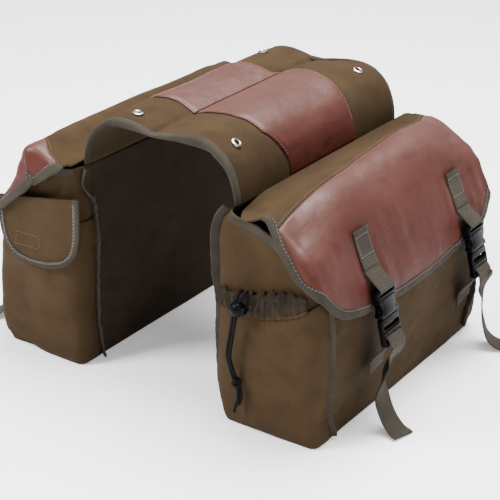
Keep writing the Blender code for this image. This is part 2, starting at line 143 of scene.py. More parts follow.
BUCKLE_X, BUCKLE_Z, BUCKLE_TILT = 0.2665, 0.1440, math.radians(15)
TAIL_DRIFT = {"1": -0.016, "2": 0.030}
DRAWCORD = [
    (0.1462, -0.2139, 0.1855), (0.1459, -0.2192, 0.1850), (0.1452, -0.2228, 0.1815),
    (0.1441, -0.2240, 0.1760), (0.1425, -0.2240, 0.1660), (0.1401, -0.2240, 0.1510),
    (0.1377, -0.2240, 0.1360), (0.1353, -0.2240, 0.1210), (0.1336, -0.2240, 0.1100),
    (0.1330, -0.2236, 0.0960), (0.1352, -0.2218, 0.0820), (0.1400, -0.2200, 0.0690),
    (0.1435, -0.2190, 0.0580), (0.1432, -0.2184, 0.0460), (0.1400, -0.2180, 0.0360),
    (0.1375, -0.2178, 0.0270),
]


# ---------------------------------------------------------------- small mathematics

def smooth(x, low, high):
    t = np.clip((np.asarray(x, float) - low) / (high - low), 0.0, 1.0)
    return t * t * (3 - 2 * t)


def bump(x, centre, width):
    return np.exp(-((np.asarray(x, float) - centre) / width) ** 2)


def points(*parts):
    """Stack arrays of X, Y and Z, broadcast to one shape, into an array of points."""
    return np.stack(np.broadcast_arrays(*parts), axis=-1).astype(float)


def wander(place, size, seed=0):
    """Smooth random values from -1 to 1, which change over about the given size."""
    q = np.asarray(place, float) / np.asarray(size, float) + 17.3 * seed
    base = np.floor(q).astype(np.int64)
    t = q - base
    t = t ** 3 * (t * (t * 6 - 15) + 10)
    total = 0.0
    for corner in range(8):
        step = np.array([(corner >> k) & 1 for k in range(3)])
        cell = base + step
        share = np.prod(np.where(step == 1, t, 1 - t), axis=-1)
        mix = cell[..., 0] * 374761393 + cell[..., 1] * 668265263 + cell[..., 2] * 1440662683
        mix = (mix + seed * 1274126177) & 0xFFFFFFFF
        mix = ((mix ^ (mix >> 13)) * 1274126177) & 0xFFFFFFFF
        total = total + share * (((mix ^ (mix >> 16)) & 0xFFFF) / 32767.5 - 1.0)
    return total


def smooth_line(path, count):
    """Points at equal spacing along a smooth curve through the given points."""
    ring = np.array(path, float)
    ring = np.vstack([2 * ring[0] - ring[1], ring, 2 * ring[-1] - ring[-2]])
    t = np.linspace(0, 1, 16, endpoint=False)[:, None]
    dense = []
    for before, start, end, after in zip(ring, ring[1:], ring[2:], ring[3:]):
        dense.append(0.5 * (2 * start + (end - before) * t
                            + (2 * before - 5 * start + 4 * end - after) * t ** 2
                            + (3 * start - before - 3 * end + after) * t ** 3))
    return even_line(np.vstack(dense + [ring[-2:-1]]), count)


def even_line(line, count):
    """The same line with points at equal spacing."""
    line = np.asarray(line, float)
    steps = np.linalg.norm(np.diff(line, axis=0), axis=1)
    at = np.concatenate([[0.0], np.cumsum(steps)])
    wanted = np.linspace(0, at[-1], count)
    return np.stack([np.interp(wanted, at, line[:, k]) for k in range(line.shape[1])], axis=1)


def line_length(line):
    return float(np.linalg.norm(np.diff(line, axis=0), axis=1).sum())


def unit(vectors):
    return vectors / np.maximum(np.linalg.norm(vectors, axis=-1, keepdims=True), 1e-12)


def normals_of(surface, a, b, step_a, step_b):
    """The outward normals of a surface, from small steps along its two directions."""
    along_a = surface(a + step_a, b) - surface(a - step_a, b)
    along_b = surface(a, b + step_b) - surface(a, b - step_b)
    return unit(np.cross(along_a, along_b))


def turned(place, sign):
    """Bag coordinates to the frame's, for one side."""
    return np.asarray(place) * np.array([sign, sign, 1.0])


# ---------------------------------------------------------------- meshes

def link(name, mesh, look, body):
    """Put a mesh in the scene with its materials, on a body; pieces that blend pass no body."""
    piece = bpy.data.objects.new(name, mesh)
    bpy.context.scene.collection.objects.link(piece)
    for item in look if isinstance(look, (list, tuple)) else [look]:
        mesh.materials.append(item)
    for polygon in mesh.polygons:
        polygon.use_smooth = True
    if body:
        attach(piece, body)
    return piece


def grid_mesh(name, grid, uv, closed=False, caps=False):
    """A mesh of four-sided faces over an array of points, with UVs in metres."""
    rows, columns = grid.shape[:2]
    index = np.arange(rows * columns).reshape(rows, columns)
    texture = uv.reshape(-1, 2)
    faces, corners = [], []
    last = rows if closed else rows - 1
    for i in range(last):
        j = (i + 1) % rows
        quads = np.stack([index[i, :-1], index[j, :-1], index[j, 1:], index[i, 1:]], axis=1)
        faces.append(quads)
        if closed and j == 0:
            end = 2 * uv[-1] - uv[-2]
            shape = [uv[i, :-1], end[:-1], end[1:], uv[i, 1:]]
            corners.append(np.stack(shape, axis=1))
        else:
            corners.append(texture[quads])
    faces, corners = np.vstack(faces), np.vstack(corners)
    mesh = bpy.data.meshes.new(name)
    whole = [tuple(f) for f in faces.tolist()]
    if caps:
        whole += [tuple(index[::-1, 0].tolist()), tuple(index[:, -1].tolist())]
    mesh.from_pydata(grid.reshape(-1, 3).tolist(), [], whole)
    layer = mesh.uv_layers.new(name="UVMap")
    flat = np.zeros((len(mesh.loops), 2))
    flat[:corners.shape[0] * 4] = corners.reshape(-1, 2)
    layer.data.foreach_set("uv", flat.ravel())
    mesh.validate()
    mesh.update()
    return mesh


def thicken(piece, thickness, offset=0.0, inner=0, rim=0):
    solid = piece.modifiers.new("thickness", "SOLIDIFY")
    solid.thickness = thickness
    solid.offset = offset
    solid.use_even_offset = False
    solid.material_offset = inner
    solid.material_offset_rim = rim
    return piece


def patch_uv(grid):
    """UVs in metres: distance along each direction of a grid of points."""
    down = np.linalg.norm(np.diff(grid, axis=0), axis=-1)
    over = np.linalg.norm(np.diff(grid, axis=1), axis=-1)
    u = np.zeros(grid.shape[:2])
    v = np.zeros(grid.shape[:2])
    u[1:] = np.cumsum(down.mean(axis=1, keepdims=True), axis=0)
    v[:, 1:] = np.cumsum(over.mean(axis=0, keepdims=True), axis=1)
    return np.stack([u, v], axis=-1)


EDGE_ROUND = 0.0004  # how far a strap's edge rounds in from its full width


def ribbon(name, line, across, width, thickness, look, body):
    """A flat strap along a line: across points over its width, and its ends are capped."""
    line, across = np.asarray(line), unit(np.asarray(across))
    across = np.broadcast_to(across, line.shape)
    heading = unit(np.gradient(line, axis=0))
    lift = unit(np.cross(heading, across))
    half, thin = width / 2, thickness / 2
    ridge = np.linspace(-1, 1, 9)
    top = [(s * (half - EDGE_ROUND), thin) for s in ridge]
    under = [(-s * (half - EDGE_ROUND), -thin) for s in ridge]
    section = top + [(half, 0.0)] + under + [(-half, 0.0)]
    grid = np.stack([line + across * a + lift * h for a, h in section])
    uv = strip_uv(line, np.array([a for a, _ in section]))
    mesh = grid_mesh(name, grid, uv, closed=True, caps=True)
    fix_normals(mesh)
    return link(name, mesh, look, body)


def sheet_piece(name, grid, sign, look, body):
    """A sheet over a grid of points in bag coordinates."""
    return link(name, grid_mesh(name, turned(grid, sign), patch_uv(grid)), look, body)


def run_along(line):
    """The distance along a line at each of its points."""
    return np.concatenate([[0.0], np.cumsum(np.linalg.norm(np.diff(line, axis=0), axis=1))])


def strip_uv(line, across):
    """UVs in metres for a strip: along its line, and the given distance across it."""
    along, across = np.broadcast_arrays(run_along(line)[None, :], np.asarray(across)[:, None])
    return np.stack([along, across], axis=-1)


def fix_normals(mesh):
    form = bmesh.new()
    form.from_mesh(mesh)
    bmesh.ops.recalc_face_normals(form, faces=form.faces)
    form.to_mesh(mesh)
    form.free()


TUBE_SIDES = 12


def round_tube(name, line, radius, look, body):
    """A mesh tube with domed ends along a line of points."""
    line = np.asarray(line, float)
    heading = unit(np.gradient(line, axis=0))
    side = unit(np.cross(heading[0], [0.3, 1.0, 0.2]))
    frames = []
    for step in heading:
        side = unit(side - step * np.dot(side, step))
        frames.append((side.copy(), np.cross(step, side)))
    angles = np.linspace(0, 2 * np.pi, TUBE_SIDES, endpoint=False)
    first = np.array([f[0] for f in frames])
    second = np.array([f[1] for f in frames])
    size = np.full(len(line), radius)
    dome = radius * 0.5
    centre = np.vstack([line[0] - heading[0] * dome, line, line[-1] + heading[-1] * dome])
    first = np.vstack([first[0], first, first[-1]])
    second = np.vstack([second[0], second, second[-1]])
    size = np.concatenate([[dome], size, [dome]])
    grid = np.stack([centre + size[:, None] * (math.cos(t) * first + math.sin(t) * second)
                     for t in angles])
    mesh = grid_mesh(name, grid, strip_uv(centre, angles * radius), closed=True, caps=True)
    fix_normals(mesh)
    return link(name, mesh, look, body)


def bead(form, centre, *axes):
    """One stitch: a ball stretched along three axes."""
    turn = Matrix([[*(axis[i] for axis in axes), centre[i]] for i in range(3)] + [[0, 0, 0, 1]])
    bmesh.ops.create_icosphere(form, subdivisions=1, radius=1.0, matrix=turn)


def threads(name, form, look, body):
    mesh = bpy.data.meshes.new(name)
    form.to_mesh(mesh)
    form.free()
    return link(name, mesh, look, body)


def stitches(name, line, outward, look, body, pitch=0.0042, length=0.0029, radius=0.00042):
    """A row of thread stitches, each a small long bead, along a line on a surface."""
    line = np.asarray(line, float)
    count = max(int(line_length(line) / pitch), 2)
    seats = even_line(line, 2 * count + 1)
    normals = unit(even_line(outward, 2 * count + 1))
    form = bmesh.new()
    for k in range(count):
        centre, normal = seats[2 * k + 1], normals[2 * k + 1]
        heading = unit(seats[2 * k + 2] - seats[2 * k])
        side = np.cross(normal, heading)
        bead(form, centre + normal * radius * 0.3, heading * length / 2, side * radius,
             normal * radius)
    return threads(name, form, look, body)


def outline_solid(name, outlines, thickness, bevel, turn, look, body):
    """Flat outlines, the first the outside and the rest holes, extruded with rounded edges."""
    curve = bpy.data.curves.new(name, "CURVE")
    curve.dimensions = "2D"
    curve.fill_mode = "BOTH"
    curve.extrude = thickness / 2 - bevel
    curve.bevel_depth = bevel
    curve.bevel_resolution = 2
    curve.offset = -bevel
    for outline in outlines:
        spline = curve.splines.new("POLY")
        spline.points.add(len(outline) - 1)
        for point, (x, y) in zip(spline.points, outline):
            point.co = (x, y, 0.0, 1.0)
        spline.use_cyclic_u = True
    shape = bpy.data.objects.new(name + "_line", curve)
    bpy.context.scene.collection.objects.link(shape)
    bpy.context.view_layer.update()
    seen = shape.evaluated_get(bpy.context.evaluated_depsgraph_get())
    mesh = bpy.data.meshes.new_from_object(seen)
    bpy.data.objects.remove(shape, do_unlink=True)
    form = bmesh.new()
    form.from_mesh(mesh)
    bmesh.ops.remove_doubles(form, verts=form.verts, dist=0.00002)
    bmesh.ops.transform(form, matrix=turn, verts=form.verts)
    bmesh.ops.recalc_face_normals(form, faces=form.faces)
    form.to_mesh(mesh)
    form.free()
    mesh.materials.clear()
    piece = link(name, mesh, look, body)
    piece.data.set_sharp_from_angle(angle=math.radians(35))
    return piece


def rounded(outline, radius, steps=5):
    """A closed outline with its corners rounded; each corner may have its own radius."""
    made = []
    count = len(outline)
    radii = radius if isinstance(radius, (list, tuple)) else [radius] * count
    for i, corner in enumerate(outline):
        here = np.array(corner, float)
        before = np.array(outline[i - 1], float) - here
        after = np.array(outline[(i + 1) % count], float) - here
        reach = min(radii[i], 0.45 * np.linalg.norm(before), 0.45 * np.linalg.norm(after))
        start, end = here + unit(before) * reach, here + unit(after) * reach
        for t in np.linspace(0, 1, steps):
            made.append(tuple((1 - t) ** 2 * start + 2 * t * (1 - t) * here + t * t * end))
    return made


# ---------------------------------------------------------------- materials

class Look:
    """A material being built from nodes."""

    def __init__(self, name, roughness, metallic=0.0):
        self.material = bpy.data.materials.new(name)
        self.material.use_nodes = True
        self.tree = self.material.node_tree
        self.shader = self.tree.nodes["Principled BSDF"]
        self.set(Roughness=roughness, Metallic=metallic)
        self.place = self.node("ShaderNodeTexCoord").outputs["Object"]
        self.flat = self.node("ShaderNodeUVMap").outputs["UV"]

    def node(self, kind, **values):
        made = self.tree.nodes.new(kind)
        for key, value in values.items():
            setattr(made, key, value)
        return made

    def set(self, **values):
        for key, value in values.items():
            self.shader.inputs[key.replace("_", " ")].default_value = value

    def join(self, source, target):
        self.tree.links.new(source, target)

    def noise(self, scale, detail=3.0, source=None, stretch=None, distortion=0.0):
        made = self.node("ShaderNodeTexNoise")
        made.inputs["Scale"].default_value = scale
        made.inputs["Detail"].default_value = detail
        made.inputs["Distortion"].default_value = distortion
        self.join(self.scaled(source or self.place, stretch), made.inputs["Vector"])
        return made.outputs["Fac"]

    def scaled(self, source, stretch, turn=0.0):
        if stretch is None and not turn:
            return source
        made = self.node("ShaderNodeMapping")
        made.inputs["Scale"].default_value = stretch or (1.0, 1.0, 1.0)
        made.inputs["Rotation"].default_value = (0.0, 0.0, turn)
        self.join(source, made.inputs["Vector"])
        return made.outputs["Vector"]

    def ridges(self, pitch, direction="X", turn=0.0, distortion=0.0, source=None):
        """Even ridges, one for each pitch in metres."""
        made = self.node("ShaderNodeTexWave", wave_type="BANDS", bands_direction=direction,
                         wave_profile="SIN")
        made.inputs["Scale"].default_value = math.pi / 10 / pitch
        made.inputs["Distortion"].default_value = distortion
        made.inputs["Detail"].default_value = 1.0
        made.inputs["Detail Scale"].default_value = 1.5
        self.join(self.scaled(source or self.flat, None, turn), made.inputs["Vector"])
        return made.outputs["Fac"]

    def cells(self, scale, feature="DISTANCE_TO_EDGE", source=None):
        made = self.node("ShaderNodeTexVoronoi", feature=feature)
        made.inputs["Scale"].default_value = scale
        self.join(source or self.place, made.inputs["Vector"])
        return made.outputs["Distance"]

    def maths(self, operation, first, second):
        made = self.node("ShaderNodeMath", operation=operation)
        for value, socket in zip((first, second), made.inputs):
            if isinstance(value, (int, float)):
                socket.default_value = value
            else:
                self.join(value, socket)
        return made.outputs["Value"]

    def ramp(self, source, low, high, first, last):
        made = self.node("ShaderNodeMapRange")
        for key, value in (("From Min", low), ("From Max", high), ("To Min", first),
                           ("To Max", last)):
            made.inputs[key].default_value = value
        self.join(source, made.inputs["Value"])
        return made.outputs["Result"]

    def mix(self, share, first, second):
        made = self.node("ShaderNodeMix", data_type="RGBA")
        for value, socket in ((share, made.inputs["Factor"]), (first, made.inputs["A"]),
                              (second, made.inputs["B"])):
            if isinstance(value, tuple):
                socket.default_value = (*value, 1.0)
            elif isinstance(value, (int, float)):
                socket.default_value = value
            else:
                self.join(value, socket)
        return made.outputs["Result"]

    def colour(self, source):
        self.join(source, self.shader.inputs["Base Color"])

    def roughness(self, source):
        self.join(source, self.shader.inputs["Roughness"])

    def bumps(self, *layers):
        """Bump layers, each a height, its distance in metres and its strength."""
        last = None
        for height, distance, strength in layers:
            made = self.node("ShaderNodeBump")
            made.inputs["Distance"].default_value = distance
            made.inputs["Strength"].default_value = strength
            self.join(height, made.inputs["Height"])
            if last:
                self.join(last, made.inputs["Normal"])
            last = made.outputs["Normal"]
        self.join(last, self.shader.inputs["Normal"])
        return self.material


def woven(name, base, light, dark, pitch=0.0011, sheen=0.05, rough=0.88):
    """Canvas: two sets of threads that cross, slubs, and patches that are worn or dusty."""
    look = Look(name, rough)
    warp = look.ridges(pitch, "X", distortion=0.6)
    weft = look.ridges(pitch * 1.1, "Y", distortion=0.6)
    weave = look.maths("MULTIPLY", warp, weft)
    slub = look.noise(420.0, 2.0, look.flat, (0.25, 1.0, 1.0))
    wear = look.noise(9.0, 5.0)
    cloud = look.noise(38.0, 4.0)
    tone = look.mix(look.ramp(wear, 0.42, 0.68, 0.0, 0.6), base, light)
    tone = look.mix(look.ramp(cloud, 0.55, 0.30, 0.0, 0.40), tone, dark)
    tone = look.mix(look.ramp(weave, 0.0, 0.45, 0.42, 0.0), tone, dark)
    tone = look.mix(look.ramp(slub, 0.55, 0.75, 0.0, 0.35), tone, light)
    look.colour(tone)
    look.set(Sheen_Weight=sheen, Sheen_Roughness=0.55, Sheen_Tint=(*light, 1.0),
             Specular_IOR_Level=0.12)
    return look.bumps((weave, 0.00045, 0.9), (slub, 0.0003, 0.4), (cloud, 0.002, 0.12))


def hide(name, base, light, dark, painted_sheen):
    """Synthetic leather: pebble grain, fine creases, a painted sheen that makes upward-facing
    areas lighter and pinkish-grey, and a soft gloss.
    """
    look = Look(name, 0.36)
    grain = look.cells(620.0)
    crease = look.noise(55.0, 6.0, stretch=(1.0, 0.45, 1.0), distortion=1.2)
    cloud = look.noise(11.0, 4.0)
    fine = look.noise(300.0, 3.0)
    tone = look.mix(look.ramp(cloud, 0.36, 0.66, 0.0, 0.85), base, light)
    tone = look.mix(look.ramp(crease, 0.46, 0.30, 0.0, 0.6), tone, dark)
    tone = look.mix(look.ramp(grain, 0.0, 0.12, 0.30, 0.0), tone, dark)
    # painted sheen: the more a face points up, the more its colour is mixed towards a pale
    # pinkish-grey, a painted highlight standing in for the sheen from the light above
    facing = look.node("ShaderNodeSeparateXYZ")
    look.join(look.node("ShaderNodeNewGeometry").outputs["Normal"], facing.inputs["Vector"])
    painted_sheen_share = look.ramp(facing.outputs["Z"], 0.30, 0.85, 0.0, 0.55)
    painted_sheen_share = look.maths("MULTIPLY", painted_sheen_share, look.ramp(cloud, 0.30, 0.60, 0.55, 1.0))
    look.colour(look.mix(painted_sheen_share, tone, painted_sheen))
    steep = look.ramp(facing.outputs["Z"], 0.20, 0.75, 0.20, 0.0)
    look.roughness(look.maths("ADD", steep, look.ramp(look.maths("ADD", fine, crease), 0.7, 1.3,
                                                      0.34, 0.50)))
    look.set(Specular_IOR_Level=0.20)
    return look.bumps((grain, 0.00022, 0.55), (crease, 0.0016, 0.35), (fine, 0.0002, 0.3))


def ribbed(name, base, light, dark, pitch=0.0013, chevron=False, rough=0.8):
    """Tape or webbing: ribs across it, threads along it, and for webbing a zigzag of them."""
    look = Look(name, rough)
    if chevron:
        first = look.ridges(0.0021, "X", math.radians(35))
        second = look.ridges(0.0021, "X", math.radians(-35))
        sides = look.node("ShaderNodeSeparateXYZ")
        look.join(look.flat, sides.inputs["Vector"])
        stripe = look.maths("FRACT", look.maths("DIVIDE", sides.outputs["Y"], 0.0107), 0.0)
        which = look.maths("GREATER_THAN", stripe, 0.5)
        ribs = look.node("ShaderNodeMix", data_type="FLOAT")
        look.join(which, ribs.inputs["Factor"])
        look.join(first, ribs.inputs["A"])
        look.join(second, ribs.inputs["B"])
        ribs = ribs.outputs["Result"]
    else:
        ribs = look.ridges(pitch, "X", distortion=0.5)
    threads = look.ridges(0.0009, "Y", distortion=0.4)
    fuzz = look.noise(500.0, 2.0)
    cloud = look.noise(26.0, 4.0)
    tone = look.mix(look.ramp(cloud, 0.38, 0.65, 0.0, 0.8), base, light)
    tone = look.mix(look.ramp(ribs, 0.0, 0.6, 0.85, 0.0), tone, dark)
    tone = look.mix(look.ramp(fuzz, 0.55, 0.75, 0.0, 0.4), tone, light)
    look.colour(tone)
    look.set(Specular_IOR_Level=0.12)
    return look.bumps((ribs, 0.0006, 0.95), (threads, 0.00015, 0.4), (fuzz, 0.0003, 0.3))


def moulded(name, base, low, high):
    look = Look(name, 0.3)
    fine = look.noise(900.0, 2.0)
    cloud = look.noise(60.0, 3.0)
    paler = tuple(c * 1.7 for c in base)
    look.colour(look.mix(look.ramp(cloud, 0.3, 0.7, 0.0, 1.0), base, paler))
    look.roughness(look.ramp(cloud, 0.35, 0.7, low, high))
    look.set(Specular_IOR_Level=0.05)
    return look.bumps((fine, 0.0001, 0.25), (cloud, 0.0008, 0.08))


def polished(name):
    look = Look(name, 0.28, 1.0)
    scratch = look.noise(700.0, 3.0, stretch=(1.0, 0.15, 1.0))
    cloud = look.noise(220.0, 3.0)
    look.colour(look.mix(look.ramp(cloud, 0.35, 0.7, 0.0, 1.0), (0.50, 0.49, 0.475),
                         (0.28, 0.27, 0.26)))
    look.roughness(look.ramp(scratch, 0.3, 0.7, 0.18, 0.42))
    return look.bumps((scratch, 0.0001, 0.3))


def braided(name, base, light):
    look = Look(name, 0.62)
    one = look.ridges(0.0016, "X", math.radians(38))
    two = look.ridges(0.0016, "X", math.radians(-38))
    braid = look.maths("MAXIMUM", one, two)
    fuzz = look.noise(800.0, 2.0)
    tone = look.mix(look.ramp(braid, 0.3, 1.0, 0.0, 1.0), base, light)
    look.colour(look.mix(look.ramp(fuzz, 0.55, 0.8, 0.0, 0.5), tone, light))
    look.set(Specular_IOR_Level=0.06)
    return look.bumps((braid, 0.0004, 0.8), (fuzz, 0.0002, 0.3))


def thread(name, base, light):
    look = Look(name, 0.6)
    twist = look.noise(1500.0, 2.0)
    look.colour(look.mix(look.ramp(twist, 0.35, 0.65, 0.0, 1.0), base, light))
    look.set(Sheen_Weight=0.3)
    return look.bumps((twist, 0.0002, 0.4))


def pale_floor(name):
    look = Look(name, 0.75)
    look.colour(look.mix(look.ramp(look.noise(3.0), 0.3, 0.7, 0.0, 1.0), (0.94, 0.94, 0.94),
                         (0.96, 0.96, 0.96)))
    look.set(Emission_Color=(1.0, 1.0, 1.0, 1.0), Emission_Strength=0.30)
    return look.bumps((look.noise(400.0), 0.0002, 0.1))


CANVAS = woven("canvas", (0.040, 0.0230, 0.0088), (0.054, 0.0335, 0.0145), (0.016, 0.0082, 0.0032))
# painted shade: a darker copy of the canvas for the bags' inner faces, which face each other and
# get little light
SHADE_PAINTED_CANVAS = woven("shade_painted_canvas", (0.023, 0.0140, 0.0068), (0.032, 0.0205, 0.0105),
               (0.010, 0.0057, 0.0028))
LINING = woven("grey_lining", (0.028, 0.034, 0.040), (0.045, 0.052, 0.060),
               (0.011, 0.012, 0.015), 0.0008, 0.03)
# the collar's canvas is greyer, and darkened further as painted shade for the shadows among its
# deep gathers
COLLAR = woven("collar_canvas", (0.024, 0.0165, 0.0100), (0.042, 0.0310, 0.0205),
               (0.007, 0.0045, 0.0028), 0.0010)
# leather: base, lighter and darker tones, and last a pale pinkish-grey painted sheen for
# upward-facing surfaces
LEATHER = hide("leather", (0.046, 0.0074, 0.0036), (0.062, 0.0120, 0.0062),
               (0.020, 0.0030, 0.0015), (0.086, 0.047, 0.040))
TAPE = ribbed("binding_tape", (0.037, 0.031, 0.0225), (0.064, 0.055, 0.041),
              (0.0060, 0.0048, 0.0032))
WEBBING = ribbed("strap_webbing", (0.036, 0.030, 0.0220), (0.062, 0.053, 0.040),
                 (0.0055, 0.0044, 0.0030), chevron=True)
PLASTIC = moulded("buckle_plastic", (0.0010, 0.0010, 0.0011), 0.26, 0.42)
BALL_PLASTIC = moulded("ball_lock_plastic", (0.0012, 0.0016, 0.0028), 0.34, 0.50)
NICKEL = polished("nickel")
CORD_BLACK = braided("black_cord", (0.0011, 0.0011, 0.0013), (0.0042, 0.0042, 0.0048))
TAN_THREAD = thread("tan_thread", (0.13, 0.050, 0.019), (0.21, 0.092, 0.040))
GREY_THREAD = thread("grey_thread", (0.085, 0.073, 0.058), (0.125, 0.112, 0.093))
BROWN_THREAD = thread("brown_thread", (0.050, 0.031, 0.016), (0.078, 0.050, 0.029))


# ---------------------------------------------------------------- one bag's body

INNER_BULGE = [(0.0, 0.0), (0.025, 0.0060), (0.051, 0.0110), (0.156, 0.0150), (0.188, 0.0170),
               (0.224, 0.0185), (0.243, 0.0165), (0.256, 0.0110), (0.268, 0.0010)]


def shell_base(around, z):
    """The bag's wall. around goes 0 to 4: outer face, flap end, inner face, cord end."""
    around, z = np.broadcast_arrays(np.asarray(around, float), np.asarray(z, float))
    face = np.floor(around).astype(int) % 4
    q = around - np.floor(around)
    a, b = (FRONT_X - BACK_X) / 2, HALF_LENGTH
    px = np.select([face == 0, face == 1, face == 2], [a, a - 2 * a * q, -a], -a + 2 * a * q)
    py = np.select([face == 0, face == 1, face == 2], [-b + 2 * b * q, b, b - 2 * b * q], -b)
    radius = 0.009 + 0.013 * smooth(z, 0.0, 0.12)
    cx, cy = np.clip(px, -a + radius, a - radius), np.clip(py, -b + radius, b - radius)
    dx, dy = px - cx, py - cy
    far = np.maximum(np.hypot(dx, dy), 1e-9)
    x, y = cx + dx / far * radius, cy + dy / far * radius
    outer = smooth(x / a, 0.1, 1.0)
    profile = np.interp(z, *zip(*FRONT_PROFILE)) - FRONT_X
    corner = 1 - 0.35 * smooth(np.abs(y) / b, 0.80, 1.0)
    skew = 0.0045 * np.clip(y / b, -1, 1) - 0.0020
    x = x + outer * (profile * corner + skew * smooth(z, 0.0, 0.04))
    inner = smooth(-x / a, 0.0, 1.0) * smooth(-y, 0.120, 0.190)
    x = x - inner * np.interp(z, *zip(*INNER_BULGE))
    end = smooth(np.abs(y) / b, 0.55, 1.0) * np.sign(y)
    swell = 0.0035 * np.sin(np.pi * np.clip(z / 0.20, 0, 1)) * (1 - 0.6 * (x / a) ** 2)
    y = y + end * np.clip(swell, 0, 1)
    raised = 0.014 * smooth(y, 0.120, 0.205) * smooth(x, -0.01, 0.055)
    raised = raised * (1 - smooth(z, 0.0, 0.075))
    return points(x + (FRONT_X + BACK_X) / 2, y, z + raised)


def make_shell(seed):
    """The wall with its sags and wrinkles, as a function of around and height."""
    def wall(around, z):
        around, z = np.asarray(around, float), np.asarray(z, float)
        place = shell_base(around, z)
        normal = normals_of(shell_base, around, z, 0.004, 0.0008)
        x, y, up = place[..., 0], place[..., 1], place[..., 2]
        free = smooth(up, 0.0, 0.035)
        sag = 0.0030 * wander(place, (0.085, 0.085, 0.075), seed)
        sag = sag + 0.0011 * wander(place, (0.034, 0.034, 0.030), seed + 1)
        sag = sag + 0.00035 * wander(place, 0.012, seed + 2)
        slant = points(x + up, y - up, 0.25 * (up + y))
        pull = 0.0011 * wander(slant, (0.030, 0.022, 0.05), seed + 3)
        seam = np.exp(-np.abs(np.abs(y) - 0.172) / 0.012)
        pucker = 0.0006 * seam * np.sin(up * 2 * np.pi / 0.013 + 3 * wander(place, 0.03, seed + 4))
        base = 0.0014 * np.exp(-up / 0.010) * (wander(place, 0.05, seed + 5) - 1)
        moved = free * (np.clip(sag, -0.0035, 0.0026) + pull * 0.7 + pucker) + base
        return place + normal * moved[..., None]
    return wall


# steps for normals: along the wall and up it, and in both directions on the lids and flaps
SHELL_STEPS = (0.012, 0.0009)
SMALL = (0.0006, 0.0006)


def wall_lift(wall, around, z, lift):
    """Points on a wall, lifted outward."""
    normal = normals_of(wall, around, z, *SHELL_STEPS)
    return wall(around, z) + normal * np.asarray(lift)[..., None]


def around_at(face, y=None, x=None):
    """Where on the wall a face meets a given y or x."""
    a, b = FRONT_X - BACK_X, HALF_LENGTH
    if face == 0:
        return (y + b) / (2 * b)
    if face == 1:
        return 1 + (FRONT_X - x) / a
    if face == 2:
        return 2 + (b - y) / (2 * b)
    return 3 + (x - BACK_X) / a


MOUTH = [(0.1000, 0.2680), (0.1260, 0.2655), (0.1500, 0.2620), (0.1710, 0.2550), (0.2050, 0.2320),
         (0.2370, 0.2000), (0.2600, 0.2000)]


def mouth_z(around):
    x = shell_base(around, np.full(np.shape(around), 0.2))[..., 0]
    return np.interp(x, *zip(*MOUTH))


def around_list(first, last, spacing=0.0032):
    """Steps along the wall from one place to another, closer at the corners."""
    dense = np.linspace(first, last, 4000)
    line = shell_base(dense, np.full(dense.shape, 0.09))[:, :2]
    at = np.concatenate([[0.0], np.cumsum(np.linalg.norm(np.diff(line, axis=0), axis=1))])
    return np.interp(np.linspace(0, at[-1], int(at[-1] / spacing)), at, dense)


INNER_FACE = (2.06, 2.94)  # the part of the wall, going around, that gets the darker canvas with painted shade


def bag_body(side, sign, wall):
    around = around_list(0.0, 4.0)[:-1]
    levels = np.linspace(0, 1, 84)
    top = mouth_z(around)[:, None]
    height = 0.0010 + (top - 0.0010) * levels[None, :]
    sides = wall(around[:, None] + 0 * height, height)
    rim = sides[:, :1]
    middle = np.array([(FRONT_X + BACK_X) / 2, 0.0, 0.0])
    floor = []
    for share in (0.04, 0.3, 0.6, 0.85, 0.97):
        ring = middle + (rim - middle) * np.array([share, share, 1.0])
        ring[..., 2] = 0.0006 + 0.0002 * share
        floor.append(ring)
    grid = np.concatenate(floor + [sides], axis=1)
    uv = patch_uv(grid)
    mesh = grid_mesh(f"{side}_bag_body", turned(grid, sign), uv, closed=True)
    piece = link(f"{side}_bag_body", mesh, [CANVAS, LINING, SHADE_PAINTED_CANVAS], "root")
    across = grid.shape[1] - 1
    for k, place in enumerate(around):
        if INNER_FACE[0] < place < INNER_FACE[1]:
            for polygon in piece.data.polygons[k * across:(k + 1) * across]:
                polygon.material_index = 2
    thicken(piece, 0.0018, -1.0, inner=1, rim=0)
    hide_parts(f"{side}_back_panel", f"{side}_front_panel", f"{side}_bottom_panel",
                f"{side}_end_panel_cord", f"{side}_end_panel_flap")


FIN = 0.0030


def wall_fin(name, wall, around, z, height, sign, lean, seed):
    """A bound seam that stands out from the wall along a line of places on it."""
    around, z = np.asarray(around, float), np.asarray(z, float)
    normal = normals_of(wall, around, z, *SHELL_STEPS)
    base = wall(around, z)
    heading = unit(np.gradient(base, axis=0))
    side = np.cross(heading, normal)
    waver = 0.16 * wander(base, 0.028, seed)[:, None]
    out = unit(normal + side * (lean + waver))
    centre = base + out * (height / 2 - 0.001)
    return ribbon(name, turned(centre, sign), turned(out, sign), height, FIN, TAPE, "root")


def body_seams(side, sign, wall, seed):
    z = np.linspace(0.004, 0.182, 60)
    for end, label in ((-1, "cord"), (1, "flap")):
        y = end * (0.166 + 0.013 * smooth(z, 0.0, 0.06) + 0.003 * smooth(z, 0.06, 0.17))
        around = around_at(0, y=y)
        wall_fin(f"{side}_front_seam_{label}", wall, around, z, 0.0088, sign,
                 lean=-0.75 * end, seed=seed + 3)
    x = np.linspace(0.112, 0.2385, 60)
    for end, label in ((-1, "cord"), (1, "flap")):
        face = 3 if end < 0 else 1
        around = around_at(face, x=np.clip(x, BACK_X + 0.001, FRONT_X - 0.001))
        top = mouth_z(around)
        edge = wall(around, top - 0.001)
        out = normals_of(wall, around, top - 0.006, *SHELL_STEPS)
        tall = unit(np.gradient(edge, axis=0))
        upward = unit(np.cross(out, tall) * end)
        upward = upward * np.sign(upward[:, 2:3])
        centre = edge - upward * 0.0042
        centre = centre - out * 0.0008
        ribbon(f"{side}_mouth_tape_{label}", turned(centre, sign), turned(upward, sign), 0.0105,
               0.0042, TAPE, "root")


# ---------------------------------------------------------------- pockets on the ends

